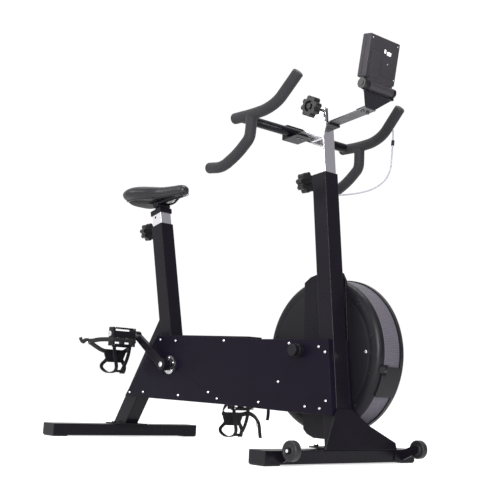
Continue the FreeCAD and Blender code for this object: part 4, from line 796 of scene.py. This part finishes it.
plaque("console_mark_round", U0 + 83, 4, 7, 11, 3.4, T1 - 0.2, T1 + 0.5, MAT["pale_mark"], "console")
plaque("console_mark_long", U0 + 80, 20, 17, 10, 3.0, T1 - 0.2, T1 + 0.5, MAT["pale_mark"], "console")
vf = []
for u, y in ((U0 + 52, 20), (U0 + 108, -50), (U0 + 108, 50), (U0 + 16, 52)):
    vf.append(tube([CQ(u, T1 - 0.5, y), CQ(u, T1 + 0.6, y)], 0.0024, seg=16, round_end=0.0005))
v, f = merge(vf)
add_mesh("console_back_screws", v, f, MAT["bright_fastener"], "console")
# seam between the front and back halves of the case
vf = []
lo_ = [CQ(U0 - 0.02, -16, -56), CQ(U0 - 0.02, -16, 56)]
for y in (-60.02, 60.02):
    vf.append(tube([CQ(U0 + 5, -16, y), CQ(U1 - 5, -16, y)], 0.0005, seg=6))
vf.append(tube([CQ(U1 + 0.02, -16, -55), CQ(U1 + 0.02, -16, 55)], 0.0005, seg=6))
v, f = merge(vf)
add_mesh("console_seam", v, f, MAT["black_rubber"], "console")
plaque("console_lcd", U0 + 72, 0, 88, 58, 2.0, T0 + 0.4, T0 + 0.15, MAT["lcd"], "console")


def seg_digit(u, y, h, w, on, parts):
    """Seven-bar digit drawn as thin raised bars."""
    t = h * 0.10
    segs = {"a": (h / 2, 0, w - t, t), "g": (0, 0, w - t, t), "d": (-h / 2, 0, w - t, t),
            "f": (h / 4, -w / 2, t, h / 2 - t), "b": (h / 4, w / 2, t, h / 2 - t), "e": (-h / 4, -w / 2, t, h / 2 - t), "c": (-h / 4, w / 2, t, h / 2 - t)}
    for k in on:
        du, dy, ww, hh = segs[k]
        a = [(u + du - hh / 2, y + dy - ww / 2), (u + du - hh / 2, y + dy + ww / 2), (u + du + hh / 2, y + dy + ww / 2), (u + du + hh / 2, y + dy - ww / 2)]
        lo4 = [CQ(p_, T0 + 0.2, q_) for p_, q_ in a]
        hi4 = [CQ(p_, T0 + 0.02, q_) for p_, q_ in a]
        parts.append((lo4 + hi4, [(0, 1, 2, 3), (4, 7, 6, 5), (0, 4, 5, 1), (1, 5, 6, 2), (2, 6, 7, 3), (3, 7, 4, 0)]))


parts = []
for r_i, u in enumerate((U0 + 91, U0 + 72, U0 + 53)):
    for c_i, y in enumerate((-30, -18, -6, 14, 26, 38)):
        seg_digit(u, -y, 9.5, 5.4, ("abcdef", "abged", "bc", "abgcd")[(r_i + c_i) % 4], parts)
v, f = merge(parts)
add_mesh("console_digits", v, f, MAT["lcd_ink"], "console", smooth=False)

# washer on the tilt barrel
v, f = tube([P(CX, -58.0, CZ), P(CX, -57.2, CZ)], 0.0155, seg=28, round_end=0.0003)
add_mesh("tilt_washer", v, f, MAT["black_rubber"], "handlebar")

# --------------------------------------------------- small frame details
vf = []
for s in (-1, 1):
    for x, y in ((-2, s * 40), (953, s * 38)):
        z = 54.2 if x < 100 else 50.9
        vf.append(tube([P(x, y, z), P(x, y, z + 4.9)], 0.0058, seg=6, round_end=0.0008))
v, f = merge(vf)
add_mesh("plate_bolt_heads", v, f, MAT["bright_fastener"], "frame")


vf = []
for s in (-1, 1):
    vf.append(tube([P(WHX, s * 254.8, WHZ), P(WHX, s * 256.6, WHZ)], 0.0046, seg=6, round_end=0.0006))
v, f = merge(vf)
add_mesh("wheel_nuts", v, f, MAT["bright_fastener"], "frame")


# weld beads where the tubes meet
def bead(path, r=0.0021):
    path = dense(path, 0.0022)
    rnd = random.Random(7)
    n = len(path)
    return tube(path, lambda t: r * (0.9 + 0.16 * math.sin(t * n * 1.9)), seg=8)


def rect_path(x0, x1, y, z):
    a = [P(x0, -y, z), P(x1, -y, z), P(x1, y, z), P(x0, y, z), P(x0, -y, z)]
    return a


lt = math.tan(math.radians(33.2))
lh = 30 / math.cos(math.radians(33.2))
lx = 7 + lt * (53.8 - 50)
fx = 1002.7 - 0.1185 * 50.5
fh = 51.3 / 2 / math.cos(math.radians(6.76))
vf = [bead(rect_path(lx - lh, lx + lh, 25.2, 54.0)), bead(rect_path(fx - fh, fx + fh - 2, 25.9, 50.7))]
zt = 392.5
sx = 325.5 - 0.2455 * zt - 28.62
vf.append(bead([P(sx, -25.1, zt), P(sx, 25.1, zt)]))
v, f = merge(vf)
add_mesh("weld_beads", v, f, MAT["black_paint"], "frame")

# ------------------------------------------------------- floor and light
def plane(name, size, loc, mat):
    me = bpy.data.meshes.new(name)
    s_ = size / 2
    me.from_pydata([(-s_, -s_, 0), (s_, -s_, 0), (s_, s_, 0), (-s_, s_, 0)], [], [(0, 1, 2, 3)])
    me.materials.append(mat)
    o = bpy.data.objects.new(name, me)
    o.location = loc
    bpy.context.scene.collection.objects.link(o)
    return o


fm, nt, b = new_mat("studio_floor")
b.inputs["Base Color"].default_value = (0.55, 0.55, 0.56, 1)
b.inputs["Roughness"].default_value = 0.9
b.inputs["Specular IOR Level"].default_value = 0.1
b.inputs["Emission Color"].default_value = (1.0, 0.995, 1.0, 1)
b.inputs["Emission Strength"].default_value = 0.62
floor = plane("studio_floor", 60, (0, 0, -0.0005), fm)
# pale surround, dimmer towards the front and far side so that bright metal keeps its form
w = bpy.data.worlds.new("studio")
bpy.context.scene.world = w
w.use_nodes = True
wt = w.node_tree
bg = wt.nodes["Background"]
tc = wt.nodes.new("ShaderNodeTexCoord")
dt = wt.nodes.new("ShaderNodeVectorMath")
dt.operation = "DOT_PRODUCT"
dt.inputs[1].default_value = (0.86, 0.45, 0.10)
wt.links.new(tc.outputs["Generated"], dt.inputs[0])
wr = wt.nodes.new("ShaderNodeValToRGB")
wr.color_ramp.elements[0].position = 0.32
wr.color_ramp.elements[0].color = (1.0, 0.995, 1.0, 1)
wr.color_ramp.elements[1].position = 0.80
wr.color_ramp.elements[1].color = (0.33, 0.325, 0.345, 1)
wt.links.new(dt.outputs["Value"], wr.inputs["Fac"])
wt.links.new(wr.outputs["Color"], bg.inputs["Color"])
bg.inputs["Strength"].default_value = 1.03


def area(name, loc, target, size, power, size_y=None):
    l = bpy.data.lights.new(name, "AREA")
    l.shape = "RECTANGLE"
    l.size = size
    l.size_y = size_y or size
    l.energy = power
    o = bpy.data.objects.new(name, l)
    o.location = loc
    o.rotation_euler = (Vector(target) - Vector(loc)).to_track_quat("-Z", "Y").to_euler()
    bpy.context.scene.collection.objects.link(o)
    return o


area("key", (-1.6, -3.0, 2.4), (0, 0, 0.6), 1.4, 42)
area("strip", (2.9, -0.9, 1.9), (0.2, 0, 0.6), 0.35, 24, 2.4)
area("front", (3.2, -3.3, 1.5), (0.1, 0, 0.6), 1.2, 230, 2.0)
area("overhead", (0.2, 0.4, 3.4), (0, 0, 0), 1.6, 60)
bpy.context.scene.view_settings.view_transform = "Standard"
bpy.context.scene.view_settings.look = "None"
